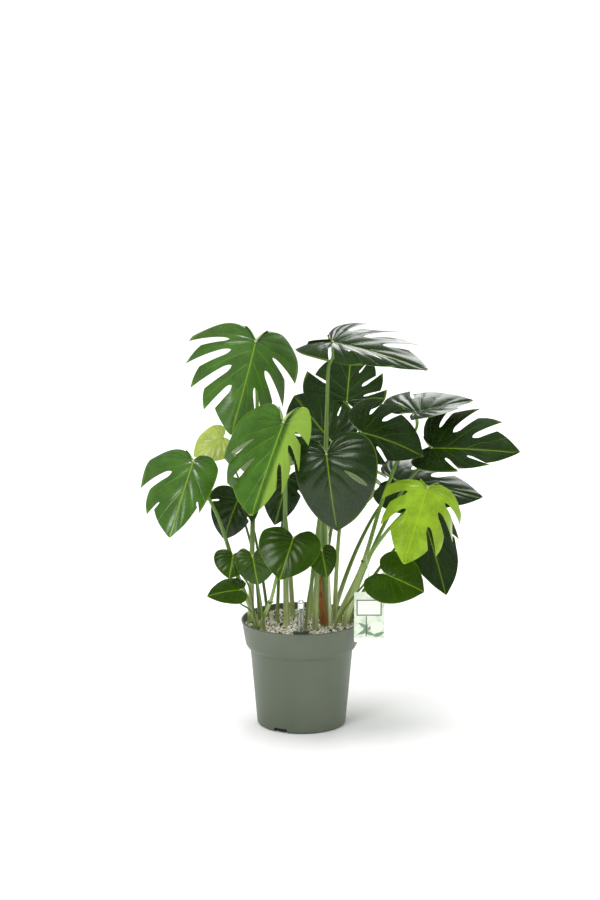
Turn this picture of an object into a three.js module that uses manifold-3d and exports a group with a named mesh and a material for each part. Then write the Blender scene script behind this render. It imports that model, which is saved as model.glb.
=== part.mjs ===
/**
 * Potted monstera: split-leaf plant in a plastic nursery pot, with a water gauge and a hanging tag.
 *
 * Millimetres, +Z up. The origin is the middle of the pot's flat bottom, on the floor, and the
 * plant's front faces -Y. Every leaf is a blade and a petiole, each a closed body of its own.
 */
import * as THREE from 'three';
import { mergeVertices } from 'three/addons/utils/BufferGeometryUtils.js';
import Module from 'manifold-3d';

const wasm = await Module();
wasm.setup();

// ---------------------------------------------------------------- driving dimensions
const RIM_RADIUS = 120;
const POT_HEIGHT = 214;
const COLLAR_BOTTOM = 160;
const COLLAR_FOOT_RADIUS = 111;
const BODY_TOP_RADIUS = 102;
const BASE_RADIUS = 88;
const WALL = 2.4;
const FLOOR = 3;
const POT_SIDES = 56;
const NOTCH = { width: 31, top: 27.5, height: 9, depth: 14, angles: [-118.5, 1.5, 121.5] };
const MEDIUM_TOP = 200;
const GAP = 0.3;

const BLADE_THICKNESS = 2;
const PETIOLE_SIDES = 8;
const PETIOLE_STEPS = 9;

const GAUGE = { x: -1, y: -88, radius: 6.5, wall: 1.2, bottom: 160, top: 276 };
const TAG = { x: 133, y: -84, bottom: 189, width: 60, height: 102, thickness: 0.8, hole: 2.6 };

// ---------------------------------------------------------------- the leaf rule
// One half of the margin, from the notch at the joint, round the back lobe and on to the tip:
// [share of the half width, share of the back lobe (negative) or of the length, origin of its vein].
const MARGIN = [
  [0, 0, 0], [0.2, -0.7, 0], [0.5, -1, 0], [0.84, -0.62, 0], [1, 0.04, 0],
  [0.98, 0.3, 0.03], [0.79, 0.57, 0.13], [0.46, 0.8, 0.3], [0.13, 0.95, 0.55], [0, 1, 0.97],
];
const VEIN_SWEEP = 0.16;      // how far the side veins curve towards the tip
const HOLE_END = 0.86;        // a closed slit ends at this share of its vein
const SLIT_CLOSE = 0.45;      // share by which a slit narrows towards the margin
const LOBE_SHOULDER = 0.13;    // the rounded corner of each lobe, on the joint's side
const LOBE_POINT = 0.04;      // the pointed corner of each lobe, on the tip's side
const REAR_DROOP = 25;        // degrees that the back lobes bend down

const radians = THREE.MathUtils.degToRad;

/** Value on a smooth curve through rows of numbers, s from 0 to 1. */
function alongRows(rows, s) {
  const last = rows.length - 1;
  const u = Math.min(Math.max(s, 0), 1) * last;
  const i = Math.min(Math.floor(u), last - 1);
  const f = u - i;
  return rows[i].map((p1, k) => {
    const p2 = rows[i + 1][k];
    const p0 = i > 0 ? rows[i - 1][k] : 2 * p1 - p2;
    const p3 = i + 2 <= last ? rows[i + 2][k] : 2 * p2 - p1;
    const cubic = 3 * p1 - p0 - 3 * p2 + p3;
    return 0.5 * (2 * p1 + (p2 - p0) * f + (2 * p0 - 5 * p1 + 4 * p2 - p3) * f * f + cubic * f ** 3);
  });
}

/** A point of the flat blade, in shares of its length: s along the margin, t out along the vein. */
function flatPoint(leaf, side, s, t) {
  const width = leaf.width[side < 0 ? 0 : 1];
  const back = leaf.back[side < 0 ? 0 : 1];
  const rows = MARGIN.map(([x, y, m]) => [x * width, y < 0 ? y * back : y, m]);
  const [ex, ey, m] = alongRows(rows, s);
  const sweep = VEIN_SWEEP * (1 - s);
  const cx = ex / 2 + sweep * (ey - m);
  const cy = m + (ey - m) / 2 - sweep * ex;
  const x = 2 * t * (1 - t) * cx + t * t * ex;
  const y = (1 - t) ** 2 * m + 2 * t * (1 - t) * cy + t * t * ey;
  return [side * x, y];
}

/** End of an arc of this length that sets out along the first axis and turns down by `turn`. */
function arcEnd(length, turn) {
  if (Math.abs(turn) < 1e-5) return [length, 0];
  const rate = turn / length;
  return [Math.sin(turn) / rate, (Math.cos(turn) - 1) / rate];
}

/** Bends a flat point: the midrib droops, and each half is folded up and curls down. */
function bendPoint(leaf, x, y, side) {
  const half = side < 0 ? 0 : 1;
  let heading = radians(leaf.droop) * y;
  let [along, sink] = arcEnd(Math.max(y, 0), Math.max(heading, 0));
  if (y < 0) {
    heading = (radians(REAR_DROOP) * y) / leaf.back[half];
    [along, sink] = arcEnd(-y, -heading);
    along = -along;
  }
  const fold = radians(leaf.fold[half]);
  const [out, down] = arcEnd(Math.abs(x), (radians(leaf.curl[half]) * Math.abs(x)) / leaf.width[half]);
  const across = out * Math.cos(fold) - down * Math.sin(fold);
  const lift = out * Math.sin(fold) + down * Math.cos(fold);
  return new THREE.Vector3(
    across * side,
    along + lift * Math.sin(heading),
    sink + lift * Math.cos(heading),
  ).multiplyScalar(leaf.length);
}

/** The blade's own axes: across, along the midrib, and out of its upper face. */
function leafAxes(leaf) {
  const along = new THREE.Vector3(...leaf.aim).normalize();
  const up = new THREE.Vector3(...leaf.face);
  up.addScaledVector(along, -up.dot(along)).normalize();
  const across = new THREE.Vector3().crossVectors(up, along);
  return { across, along, up };
}

/** Half width of a slit at t, in shares of the margin; a closed one narrows again to nothing. */
function slitHalf(cut, t, inner, end) {
  if (!cut || t <= inner) return 0;
  const [, depth, half, closed] = cut;
  if (closed) return half * Math.sqrt(Math.sin(Math.PI * Math.min((t - inner) / (end - inner), 1)));
  const open = (t - depth) / (1 - depth);
  return half * Math.sqrt(Math.min(1, Math.max(0, open) / 0.15)) * (1 - SLIT_CLOSE * open);
}

/** Depth at which the lobes part, read between the slits on either side. */
function partingDepth(cuts, s) {
  if (!cuts.length) return 0.5;
  if (s <= cuts[0][0]) return cuts[0][1];
  for (let k = 1; k < cuts.length; k += 1) {
    if (s <= cuts[k][0]) {
      const share = (s - cuts[k - 1][0]) / (cuts[k][0] - cuts[k - 1][0]);
      return cuts[k - 1][1] + share * (cuts[k][1] - cuts[k - 1][1]);
    }
  }
  return cuts[cuts.length - 1][1];
}

/** Rows of (s, t) for each lobe of one half blade. */
function lobeRows(leaf, side) {
  const cuts = leaf.cuts[side < 0 ? 0 : 1];
  const { columns, rows } = leaf.grid;
  const stops = [0, ...cuts.map((cut) => cut[0]), 1];
  const levels = [];
  rows.forEach((count, zone) => {
    for (let k = zone === 0 ? 1 : 0; k < count; k += 1) levels.push([zone, k / count]);
  });
  levels.push([3, 0]);
  return stops.slice(1).map((stop, j) => levels.map(([zone, share]) => {
    const line = [];
    const count = Math.max(2, Math.round(columns * (stop - stops[j]) * stops.length * 0.5));
    for (let c = 0; c <= count; c += 1) {
      const q = c / count;
      const inner = partingDepth(cuts, stops[j] + (stop - stops[j]) * q);
      const end = Math.max(HOLE_END, inner + 0.02);
      let t = [inner * share, inner + (end - inner) * share, end + (1 - end) * share, 1][zone];
      const before = cuts[j - 1];
      const after = cuts[j];
      const low = stops[j] + (zone ? slitHalf(before, t, inner, end) : 0);
      const high = stop - (zone ? slitHalf(after, t, inner, end) : 0);
      let reach = 1;
      if (before && !before[3]) reach -= LOBE_SHOULDER * (1 - q) ** 2;
      if (after && !after[3]) reach += LOBE_POINT * q ** 3;
      if (t > inner) t = inner + ((t - inner) * (reach - inner)) / (1 - inner);
      line.push([low + (high - low) * q, t]);
    }
    return line;
  }));
}

/** The blade's middle sheet: points in space and faces that wind round its upper face. */
function bladeSheet(leaf) {
  const { across, along, up } = leafAxes(leaf);
  const joint = new THREE.Vector3(...leaf.joint);
  const points = [];
  const flats = [];
  const index = new Map();
  const faces = [];
  const vertex = (side, x, y) => {
    const key = `${Math.round(x * 1e5) || 0} ${Math.round(y * 1e5) || 0}`;
    if (!index.has(key)) {
      const bent = bendPoint(leaf, x, y, side);
      const point = joint.clone().addScaledVector(across, bent.x);
      point.addScaledVector(along, bent.y).addScaledVector(up, bent.z);
      index.set(key, points.length);
      points.push(point);
      flats.push([x, y]);
    }
    return index.get(key);
  };
  const addFace = (side, corners) => {
    const ring = corners.filter((v, k) => v !== corners[(k + corners.length - 1) % corners.length]);
    if (ring.length > 2) faces.push(side < 0 ? ring : ring.reverse());
  };
  for (const side of [-1, 1]) {
    const lobes = lobeRows(leaf, side).map((rows) => rows.map((row) => row.map(
      ([s, t]) => vertex(side, ...flatPoint(leaf, side, s, t)),
    )));
    for (const rows of lobes) {
      for (let r = 1; r < rows.length; r += 1) {
        for (let c = 1; c < rows[r].length; c += 1) {
          addFace(side, [rows[r - 1][c - 1], rows[r][c - 1], rows[r][c], rows[r - 1][c]]);
        }
      }
    }
    const first = [];
    lobes.forEach((rows) => rows[0].forEach((v) => {
      if (v !== first[first.length - 1]) first.push(v);
    }));
    const end = MARGIN[MARGIN.length - 1][2];
    const rib = [];
    for (let k = 0; k <= leaf.grid.rib; k += 1) rib.push(vertex(side, 0, (end * k) / leaf.grid.rib));
    const origins = [];
    lobeRows(leaf, side).forEach((rows) => rows[0].forEach(([s]) => {
      const origin = alongRows(MARGIN, s)[2];
      if (origins.length === 0 || s !== origins[origins.length - 1][0]) origins.push([s, origin]);
    }));
    let a = 0;
    let b = 0;
    while (a < rib.length - 1 || b < first.length - 1) {
      const nextRib = a < rib.length - 1 ? (end * (a + 0.5)) / leaf.grid.rib : Infinity;
      const nextFirst = b < first.length - 1 ? origins[b + 1][1] : Infinity;
      if (nextFirst <= nextRib) {
        addFace(side, [rib[a], first[b], first[b + 1]]);
        b += 1;
      } else {
        addFace(side, [rib[a], first[b], rib[a + 1]]);
        a += 1;
      }
    }
  }
  return { points, faces };
}

/** Gives a sheet its thickness: both faces are offset along the normals and the edge is closed. */
function thicken({ points, faces }, thickness) {
  const normals = points.map(() => new THREE.Vector3());
  const side = new THREE.Vector3();
  const other = new THREE.Vector3();
  const edges = new Map();
  for (const face of faces) {
    for (let k = 1; k < face.length - 1; k += 1) {
      side.subVectors(points[face[k]], points[face[0]]);
      other.subVectors(points[face[k + 1]], points[face[0]]);
      side.cross(other);
      for (const v of [face[0], face[k], face[k + 1]]) normals[v].add(side);
    }
    face.forEach((v, k) => {
      const w = face[(k + 1) % face.length];
      if (!edges.delete(`${w} ${v}`)) edges.set(`${v} ${w}`, [v, w]);
    });
  }
  const count = points.length;
  const shell = [1, -1].flatMap((sign) => points.map((point, v) => (
    point.clone().addScaledVector(normals[v].normalize(), (sign * thickness) / 2)
  )));
  const rings = faces.flatMap((face) => [face, face.map((v) => v + count).reverse()]);
  for (const [v, w] of edges.values()) rings.push([w, v, v + count, w + count]);
  return solid(shell, rings);
}

// ---------------------------------------------------------------- solids
/** Closed geometry from points and convex rings of point numbers. */
function solid(points, rings) {
  const corners = [];
  for (const ring of rings) {
    for (let k = 1; k < ring.length - 1; k += 1) {
      for (const v of [ring[0], ring[k], ring[k + 1]]) corners.push(...points[v].toArray());
    }
  }
  const geometry = new THREE.BufferGeometry();
  geometry.setAttribute('position', new THREE.Float32BufferAttribute(corners, 3));
  return mergeVertices(geometry, 1e-3);
}

/** A round bar along a curve whose radius changes from end to end; `closed` joins it into a ring. */
function bar(curve, steps, sides, radiusAt, closed = false) {
  const frames = curve.computeFrenetFrames(steps, closed);
  const rows = closed ? steps : steps + 1;
  const points = [];
  for (let i = 0; i < rows; i += 1) {
    const centre = curve.getPointAt(i / steps);
    for (let k = 0; k < sides; k += 1) {
      const angle = (2 * Math.PI * k) / sides;
      const point = centre.clone().addScaledVector(frames.normals[i], radiusAt(i / steps) * Math.cos(angle));
      points.push(point.addScaledVector(frames.binormals[i], radiusAt(i / steps) * Math.sin(angle)));
    }
  }
  const rings = [];
  for (let i = 0; i < steps; i += 1) {
    for (let k = 0; k < sides; k += 1) {
      const next = (k + 1) % sides;
      const above = ((i + 1) % rows) * sides;
      rings.push([i * sides + k, i * sides + next, above + next, above + k]);
    }
  }
  if (!closed) {
    const cap = Array.from({ length: sides }, (_, k) => k);
    rings.push([...cap].reverse(), cap.map((k) => k + steps * sides));
  }
  return solid(points, rings);
}

/** Round shape from a closed or axis-to-axis profile of [radius, height], turned about +Z. */
function turned(profile, sides) {
  const lathe = new THREE.LatheGeometry(profile.map(([r, z]) => new THREE.Vector2(r, z)), sides);
  lathe.rotateX(Math.PI / 2);
  return bare(lathe);
}

/** The geometry with its position only and its shared vertices merged. */
function bare(geometry) {
  const copy = geometry.clone();
  copy.deleteAttribute('normal');
  copy.deleteAttribute('uv');
  return mergeVertices(copy, 1e-3);
}

function toManifold(geometry) {
  const vertProperties = new Float32Array(geometry.attributes.position.array);
  return new wasm.Manifold(new wasm.Mesh({
    numProp: 3, vertProperties, triVerts: new Uint32Array(geometry.index.array),
  }));
}

/** The first solid with the others cut away. */
function cutAway(geometry, cutters) {
  const result = cutters.reduce((body, cutter) => body.subtract(toManifold(cutter)), toManifold(geometry));
  const mesh = result.getMesh();
  const cut = new THREE.BufferGeometry();
  cut.setAttribute('position', new THREE.Float32BufferAttribute(mesh.vertProperties, 3));
  cut.setIndex(new THREE.Uint32BufferAttribute(mesh.triVerts, 1));
  return cut;
}

// ---------------------------------------------------------------- the leaves
// joint: where the petiole meets the blade. aim: the way the midrib sets out. face: the way the
// upper side looks. width and back: share of the length, for each half. droop, fold, curl: degrees.
// cuts: [place along the margin, depth along the vein, half width, closed?], for each half.
// foot: where the petiole leaves the growing medium. via: points that it passes. thick: its radii.
const SPLIT = { columns: 6, rows: [1, 1, 1], rib: 5 };
const HOLED = { columns: 6, rows: [1, 2, 1], rib: 5 };
const PLAIN = { columns: 7, rows: [1, 1, 0], rib: 4 };
const FINE = { columns: 9, rows: [1, 2, 0], rib: 5 };
const WHOLE = [[], []];
const LEAVES = [
  {
    name: 'top_left', joint: [-90, 30, 767], aim: [-0.2, -0.62, -0.76], face: [0.32, -0.78, 0.54],
    length: 202, width: [0.63, 0.5], back: [0.26, 0.26], droop: 13, fold: [-20, -4], curl: [28, 29],
    cuts: [[[0.46, 0.4, 0.018], [0.57, 0.34, 0.022], [0.68, 0.34, 0.02], [0.78, 0.4, 0.018]],
      [[0.53, 0.4, 0.014], [0.65, 0.36, 0.02], [0.77, 0.36, 0.016]]],
    grid: SPLIT, foot: [-101, 12], via: [[-96, 45, 430], [-88, 74, 650]], thick: [6.5, 3],
  },
  {
    name: 'left', joint: [-211, -60, 548], aim: [-0.28, -0.57, -0.77], face: [-0.16, -0.79, 0.59],
    length: 163, width: [0.66, 0.32], back: [0.2, 0.15], droop: 8, fold: [-6, -3], curl: [36, 34],
    cuts: [[[0.6, 0.36, 0.026], [0.74, 0.7, 0.006]], [[0.68, 0.75, 0.008]]],
    grid: SPLIT, foot: [-90, -20], via: [[-127, -22, 309], [-164, -35, 430]], thick: [6, 2.8],
  },
  {
    name: 'front_left', joint: [-35, -170, 650], aim: [-0.32, -0.52, -0.79],
    face: [-0.42, -0.71, 0.57], length: 197, width: [0.64, 0.3], back: [0.25, 0.3], droop: 4,
    fold: [-2, -39], curl: [30, 30],
    cuts: [[[0.6, 0.45, 0.008, true], [0.72, 0.42, 0.008, true]],
      [[0.48, 0.45, 0.018], [0.6, 0.4, 0.02], [0.72, 0.42, 0.018]]],
    grid: SPLIT, foot: [-30, -14], via: [[-32, -60, 400], [-30, -125, 600]], thick: [6.5, 3],
  },
  {
    name: 'front_centre', joint: [48, -150, 583], aim: [0.1, -0.31, -0.95],
    face: [-0.13, -0.94, 0.31], length: 157, width: [0.42, 0.62], back: [0.22, 0.23], droop: 40,
    fold: [9, 18], curl: [32, 26],
    cuts: [[], [[0.63, 0.36, 0.016, true]]],
    grid: HOLED, foot: [27, -40], via: [[34, -60, 400], [44, -105, 540]], thick: [6, 3],
  },
  {
    name: 'dark_centre', joint: [57, 82, 558], aim: [-0.58, 0.56, 0.59], face: [-0.33, -0.81, 0.48],
    length: 136, width: [0.53, 0.61], back: [0.23, 0.25], droop: 18, fold: [22, 15], curl: [23, 28],
    cuts: [[[0.55, 0.6, 0.01]], [[0.5, 0.4, 0.03, true], [0.66, 0.5, 0.012, true]]],
    grid: HOLED, foot: [14, 22], via: [[35, 66, 400], [52, 97, 500]], thick: [5, 2.6],
  },
  {
    name: 'top', joint: [61, -40, 780], aim: [0.92, -0.37, -0.09], face: [0.03, -0.17, 0.99],
    length: 199, width: [0.43, 0.63], back: [0.3, 0.15], droop: 15, fold: [14, 7], curl: [36, 19],
    cuts: [[[0.5, 0.4, 0.024], [0.63, 0.38, 0.022], [0.75, 0.42, 0.018]],
      [[0.48, 0.5, 0.018], [0.62, 0.42, 0.02], [0.74, 0.45, 0.016]]],
    grid: SPLIT, foot: null, via: [[50, -14, 649], [54, -32, 735]], thick: [6, 3],
  },
  {
    name: 'behind_top', joint: [91, 156, 619], aim: [0.07, 0.68, 0.73], face: [-0.09, -0.73, 0.67],
    length: 131, width: [0.58, 0.72], back: [0.14, 0.18], droop: 16, fold: [16, 16],
    curl: [26, 25],
    cuts: [[[0.52, 0.42, 0.018], [0.64, 0.42, 0.02], [0.76, 0.5, 0.012]],
      [[0.42, 0.42, 0.026], [0.64, 0.5, 0.014]]],
    grid: SPLIT, foot: [32, 38], via: [[66, 84, 420], [86, 154, 552]], thick: [5, 2.6],
  },
  {
    name: 'right_top', joint: [226, 60, 618], aim: [0.84, 0.53, 0.14], face: [-0.1, -0.1, 0.99],
    length: 139, width: [0.52, 0.67], back: [0.22, 0.24], droop: 10, fold: [20, 20],
    curl: [24, 26],
    cuts: [[[0.6, 0.6, 0.01]], [[0.58, 0.55, 0.014]]],
    grid: SPLIT, foot: [73, 6], via: [[120, 16, 316], [160, 32, 446], [202, 50, 551]],
    thick: [6, 2.8],
  },
  {
    name: 'right', joint: [257, 20, 556], aim: [0.97, -0.24, 0.05], face: [-0.16, -0.6, 0.78],
    length: 175, width: [0.34, 0.7], back: [0.22, 0.16], droop: 10, fold: [12, 3], curl: [24, 26],
    cuts: [[[0.58, 0.45, 0.016], [0.72, 0.45, 0.016]],
      [[0.5, 0.42, 0.016], [0.63, 0.36, 0.024], [0.75, 0.4, 0.02]]],
    grid: SPLIT, foot: [90, -4], via: [[150, -10, 380], [225, 12, 510]], thick: [5.5, 2.8],
  },
  {
    name: 'centre_right', joint: [117, 0, 592], aim: [0.94, -0.3, -0.15],
    face: [-0.03, -0.54, 0.84], length: 131, width: [0.5, 0.72], back: [0.16, 0.28], droop: 26,
    fold: [2, 20], curl: [33, 33],
    cuts: [[[0.52, 0.42, 0.02], [0.67, 0.42, 0.018]], [[0.48, 0.45, 0.02], [0.63, 0.42, 0.02]]],
    grid: SPLIT, foot: [66, 22], via: [[76, 18, 400], [98, 10, 530]], thick: [5, 2.8],
  },
  {
    name: 'back_right', joint: [188, 130, 464], aim: [0.97, -0.12, -0.1],
    face: [-0.03, -0.45, 0.89], length: 179, width: [0.48, 0.6], back: [0.22, 0.22], droop: 12,
    fold: [9, 2], curl: [30, 34],
    cuts: [[[0.62, 0.5, 0.016]], [[0.58, 0.4, 0.02], [0.72, 0.4, 0.024]]],
    grid: SPLIT, foot: [66, 52], via: [[110, 90, 330], [160, 122, 415]], thick: [5.5, 2.8],
  },
  {
    name: 'lime', joint: [243, -120, 509], aim: [-0.27, -0.63, -0.72], face: [0.18, -0.8, 0.58],
    length: 163, width: [0.5, 0.61], back: [0.13, 0.21], droop: 14, fold: [-13, -14],
    curl: [37, 42],
    cuts: [[[0.53, 0.42, 0.022], [0.68, 0.42, 0.024]],
      [[0.5, 0.45, 0.018], [0.62, 0.4, 0.022], [0.75, 0.42, 0.022]]],
    grid: SPLIT, foot: [84, -24], via: [[128, -54, 346], [190, -82, 440]], thick: [5.5, 2.6],
  },
  {
    name: 'right_low', joint: [244, 10, 408], aim: [0.3, -0.45, -0.84], face: [0.43, -0.73, 0.53],
    length: 152, width: [0.42, 0.5], back: [0.22, 0.22], droop: 10, fold: [7, 3], curl: [29, 33],
    cuts: [[], [[0.55, 0.75, 0.008]]],
    grid: SPLIT, foot: [97, 28], via: [[150, 34, 300], [210, 42, 370]], thick: [4.5, 2.2],
  },
  {
    name: 'round', joint: [164, -110, 334], aim: [0.9, -0.3, -0.31], face: [-0.04, -0.79, 0.62],
    length: 83, width: [0.74, 0.66], back: [0.36, 0.28], droop: 14, fold: [20, 14],
    curl: [25, 29], cuts: WHOLE, grid: PLAIN, foot: [66, -46], via: [[112, -52, 284], [146, -70, 322]],
    thick: [3, 1.7],
  },
  {
    name: 'heart_front', joint: [-16, -130, 411], aim: [-0.31, -0.53, -0.78], face: [0, -0.84, 0.55],
    length: 86, width: [0.76, 0.67], back: [0.2, 0.28], droop: 20, fold: [5, 12], curl: [31, 29],
    cuts: WHOLE, grid: PLAIN, foot: [-79, -34], via: [[-60, -60, 268], [-40, -88, 350]],
    thick: [5, 2],
  },
  {
    name: 'heart_right', joint: [40, -85, 374], aim: [0.18, -0.44, -0.88], face: [0, -0.89, 0.45],
    length: 54, width: [0.58, 0.5], back: [0.22, 0.22], droop: 24, fold: [7, 7], curl: [30, 30],
    cuts: WHOLE, grid: PLAIN, foot: [8, -62], via: [[18, -66, 300]], thick: [3, 1.6],
  },
  {
    name: 'heart_left', joint: [-95, -90, 363], aim: [0.16, -0.29, -0.94], face: [-0.08, -0.95, 0.3],
    length: 58, width: [0.62, 0.78], back: [0.34, 0.28], droop: 34, fold: [15, 15],
    curl: [29, 27], cuts: WHOLE, grid: PLAIN, foot: [-74, -52], via: [[-84, -64, 290]],
    thick: [3, 1.6],
  },
  {
    name: 'small_left', joint: [-134, -60, 359], aim: [-0.17, -0.54, -0.82], face: [0, -0.84, 0.54],
    length: 48, width: [0.78, 0.76], back: [0.22, 0.22], droop: 23, fold: [7, 8], curl: [30, 30],
    cuts: WHOLE, grid: PLAIN, foot: [-92, -44], via: [[-104, -36, 290]], thick: [2.8, 1.5],
  },
  {
    name: 'small_low', joint: [-121, -70, 291], aim: [-0.99, -0.14, -0.02], face: [0.05, -0.43, 0.9],
    length: 66, width: [0.64, 0.56], back: [0.22, 0.18], droop: 22, fold: [9, 10], curl: [30, 29],
    cuts: WHOLE, grid: FINE, foot: [-88, -64], via: [[-102, -68, 250]], thick: [2.6, 1.5],
  },
  {
    name: 'inner_left', joint: [-126, 40, 446], aim: [-0.39, -0.3, -0.87],
    face: [-0.23, -0.88, 0.41], length: 85, width: [0.67, 0.55], back: [0.22, 0.23], droop: 28,
    fold: [12, 9], curl: [27, 30],
    cuts: [[[0.55, 0.6, 0.012]], [[0.6, 0.7, 0.01]]],
    grid: SPLIT, foot: [-84, 30], via: [[-96, 48, 330]], thick: [4, 2],
  },
  {
    name: 'yellow', joint: [-157, 30, 574], aim: [-0.87, -0.21, -0.45], face: [-0.13, -0.8, 0.58],
    length: 67, width: [0.53, 0.6], back: [0.24, 0.21], droop: 20, fold: [8, 5], curl: [29, 33],
    cuts: WHOLE, grid: FINE, foot: [-68, 44], via: [[-100, 66, 400], [-138, 52, 520]],
    thick: [3.6, 1.8],
  },
  {
    name: 'inner_centre', joint: [-27, 30, 493], aim: [-0.27, -0.35, -0.9], face: [0.02, -0.94, 0.35],
    length: 98, width: [0.5, 0.42], back: [0.22, 0.22], droop: 24, fold: [8, 7], curl: [30, 31],
    cuts: [[[0.5, 0.55, 0.014]], [[0.56, 0.6, 0.012]]],
    grid: SPLIT, foot: [-48, 12], via: [[-40, 44, 380]], thick: [4, 2.2],
  },
  {
    name: 'back_left', joint: [-60, 172, 556], aim: [-0.2, 0.7, -0.6], face: [-0.1, 0.75, 0.65],
    length: 168, width: [0.6, 0.55], back: [0.24, 0.24], droop: 20, fold: [4, -4], curl: [30, 32],
    cuts: [[[0.48, 0.45, 0.016], [0.61, 0.38, 0.022], [0.74, 0.42, 0.018]],
      [[0.52, 0.42, 0.02], [0.67, 0.4, 0.02]]],
    grid: SPLIT, foot: [-18, 48], via: [[-30, 80, 380], [-48, 125, 500]], thick: [5.5, 2.8],
  },
  {
    name: 'back_centre', joint: [80, 175, 480], aim: [0.2, 0.72, -0.55], face: [0.15, 0.7, 0.7],
    length: 158, width: [0.56, 0.6], back: [0.22, 0.24], droop: 24, fold: [6, 2], curl: [32, 28],
    cuts: [[[0.5, 0.42, 0.018], [0.66, 0.4, 0.02]],
      [[0.48, 0.48, 0.014], [0.6, 0.38, 0.022], [0.74, 0.42, 0.018]]],
    grid: SPLIT, foot: [22, 74], via: [[44, 104, 330], [66, 135, 425]], thick: [5.5, 2.6],
  },
];
const STEM_FOOT = MEDIUM_TOP + GAP;
const MAIN_STEM = {
  points: [[49, -10, STEM_FOOT], [49, -10, STEM_FOOT + 12], [46, -18, 310], [44, -30, 424]],
  thick: [13, 8],
};
const SHEATH = { from: 0.03, to: 0.53, heading: 215, spread: 65, thickness: 0.8 };

/** The line of a petiole: up from its foot, past its points, and round under the blade. */
function petioleLine(leaf) {
  const { up } = leafAxes(leaf);
  const joint = new THREE.Vector3(...leaf.joint);
  const end = joint.clone().addScaledVector(up, -BLADE_THICKNESS / 2 - 0.9 - leaf.thick[1] * 0.85);
  const elbow = end.clone().addScaledVector(up, -14).add(new THREE.Vector3(0, 0, -12));
  const [x, y, z] = leaf.foot ? [...leaf.foot, STEM_FOOT] : MAIN_STEM.points[3];
  const start = leaf.foot ? [[x, y, z], [x, y, z + 10]] : [[x, y, z + 2]];
  const points = [...start, ...leaf.via].map((point) => new THREE.Vector3(...point));
  return new THREE.CatmullRomCurve3([...points, elbow, end], false, 'centripetal');
}

function petiole(leaf) {
  const [base, tip] = leaf.thick;
  return bar(petioleLine(leaf), PETIOLE_STEPS, PETIOLE_SIDES, (share) => base + (tip - base) * share ** 0.7);
}

// ---------------------------------------------------------------- pot and growing medium
const POT_OUTSIDE = [
  [0, 0], [BASE_RADIUS - 3, 0], [BASE_RADIUS, 3], [BODY_TOP_RADIUS, COLLAR_BOTTOM - 4],
  [BODY_TOP_RADIUS + 5, COLLAR_BOTTOM - 2], [COLLAR_FOOT_RADIUS, COLLAR_BOTTOM + 5],
  [RIM_RADIUS - 1.4, POT_HEIGHT - 5], [RIM_RADIUS, POT_HEIGHT - 3.5], [RIM_RADIUS - 0.6, POT_HEIGHT - 0.6],
  [RIM_RADIUS - 2.2, POT_HEIGHT],
];
const POT_INSIDE = [
  [RIM_RADIUS - WALL - 1.6, POT_HEIGHT - 1], [COLLAR_FOOT_RADIUS - WALL, COLLAR_BOTTOM + 6],
  [BODY_TOP_RADIUS + 5 - WALL, COLLAR_BOTTOM + 1], [BODY_TOP_RADIUS - WALL, COLLAR_BOTTOM - 4],
  [BASE_RADIUS - WALL, FLOOR + 1], [BASE_RADIUS - WALL - 2, FLOOR], [0, FLOOR],
];

function pot() {
  const notches = NOTCH.angles.map((angle) => {
    const half = NOTCH.width / 2;
    const top = NOTCH.top / 2;
    const outline = new THREE.Shape();
    outline.moveTo(-half, -1).lineTo(half, -1).lineTo(top, NOTCH.height).lineTo(-top, NOTCH.height);
    outline.closePath();
    const notch = new THREE.ExtrudeGeometry(outline, { depth: NOTCH.depth * 2, bevelEnabled: false });
    notch.translate(0, 0, -NOTCH.depth);
    notch.rotateX(Math.PI / 2);
    notch.translate(0, -BASE_RADIUS, 0);
    notch.rotateZ(radians(angle + 90));
    return bare(notch);
  });
  return cutAway(turned([...POT_OUTSIDE, ...POT_INSIDE], POT_SIDES), notches);
}

/** The medium fills the pot's inside, less the gap, and has a bore for the gauge. */
function growingMedium() {
  const inside = [...POT_INSIDE].reverse().filter(([, z]) => z < MEDIUM_TOP);
  const [foot, rim] = [POT_INSIDE[1], POT_INSIDE[0]];
  const share = (MEDIUM_TOP - foot[1]) / (rim[1] - foot[1]);
  const top = foot[0] + (rim[0] - foot[0]) * share;
  const profile = inside.map(([r, z]) => [Math.max(r - GAP * 1.5, 0), z + GAP]);
  const body = turned([...profile, [top - GAP * 1.5, MEDIUM_TOP], [0, MEDIUM_TOP]], POT_SIDES);
  const { x, y, radius, bottom } = GAUGE;
  const bore = new THREE.CylinderGeometry(radius + GAP, radius + GAP, MEDIUM_TOP - bottom + 2, 16);
  bore.rotateX(Math.PI / 2);
  bore.translate(x, y, (MEDIUM_TOP + bottom) / 2 + 1 - GAP / 2);
  return cutAway(body, [bare(bore)]);
}

// ---------------------------------------------------------------- water gauge
function gaugeTube() {
  const { radius, wall, bottom, top } = GAUGE;
  const dome = (r) => [0, 22.5, 45, 67.5, 90].map((angle) => [
    r * Math.sin(radians(angle)), top - radius + r * Math.cos(radians(angle)),
  ]);
  const outside = [...dome(radius), [radius, bottom]];
  return turned([...outside, [radius - wall, bottom], ...dome(radius - wall).reverse()], 16);
}

function gaugeFloat() {
  const { bottom, top } = GAUGE;
  return turned([[0, bottom + 1], [4, bottom + 1], [4, bottom + 40], [1.4, bottom + 42],
    [1.4, top - 26], [3.4, top - 25], [3.4, top - 18], [0, top - 17]], 12);
}

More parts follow.
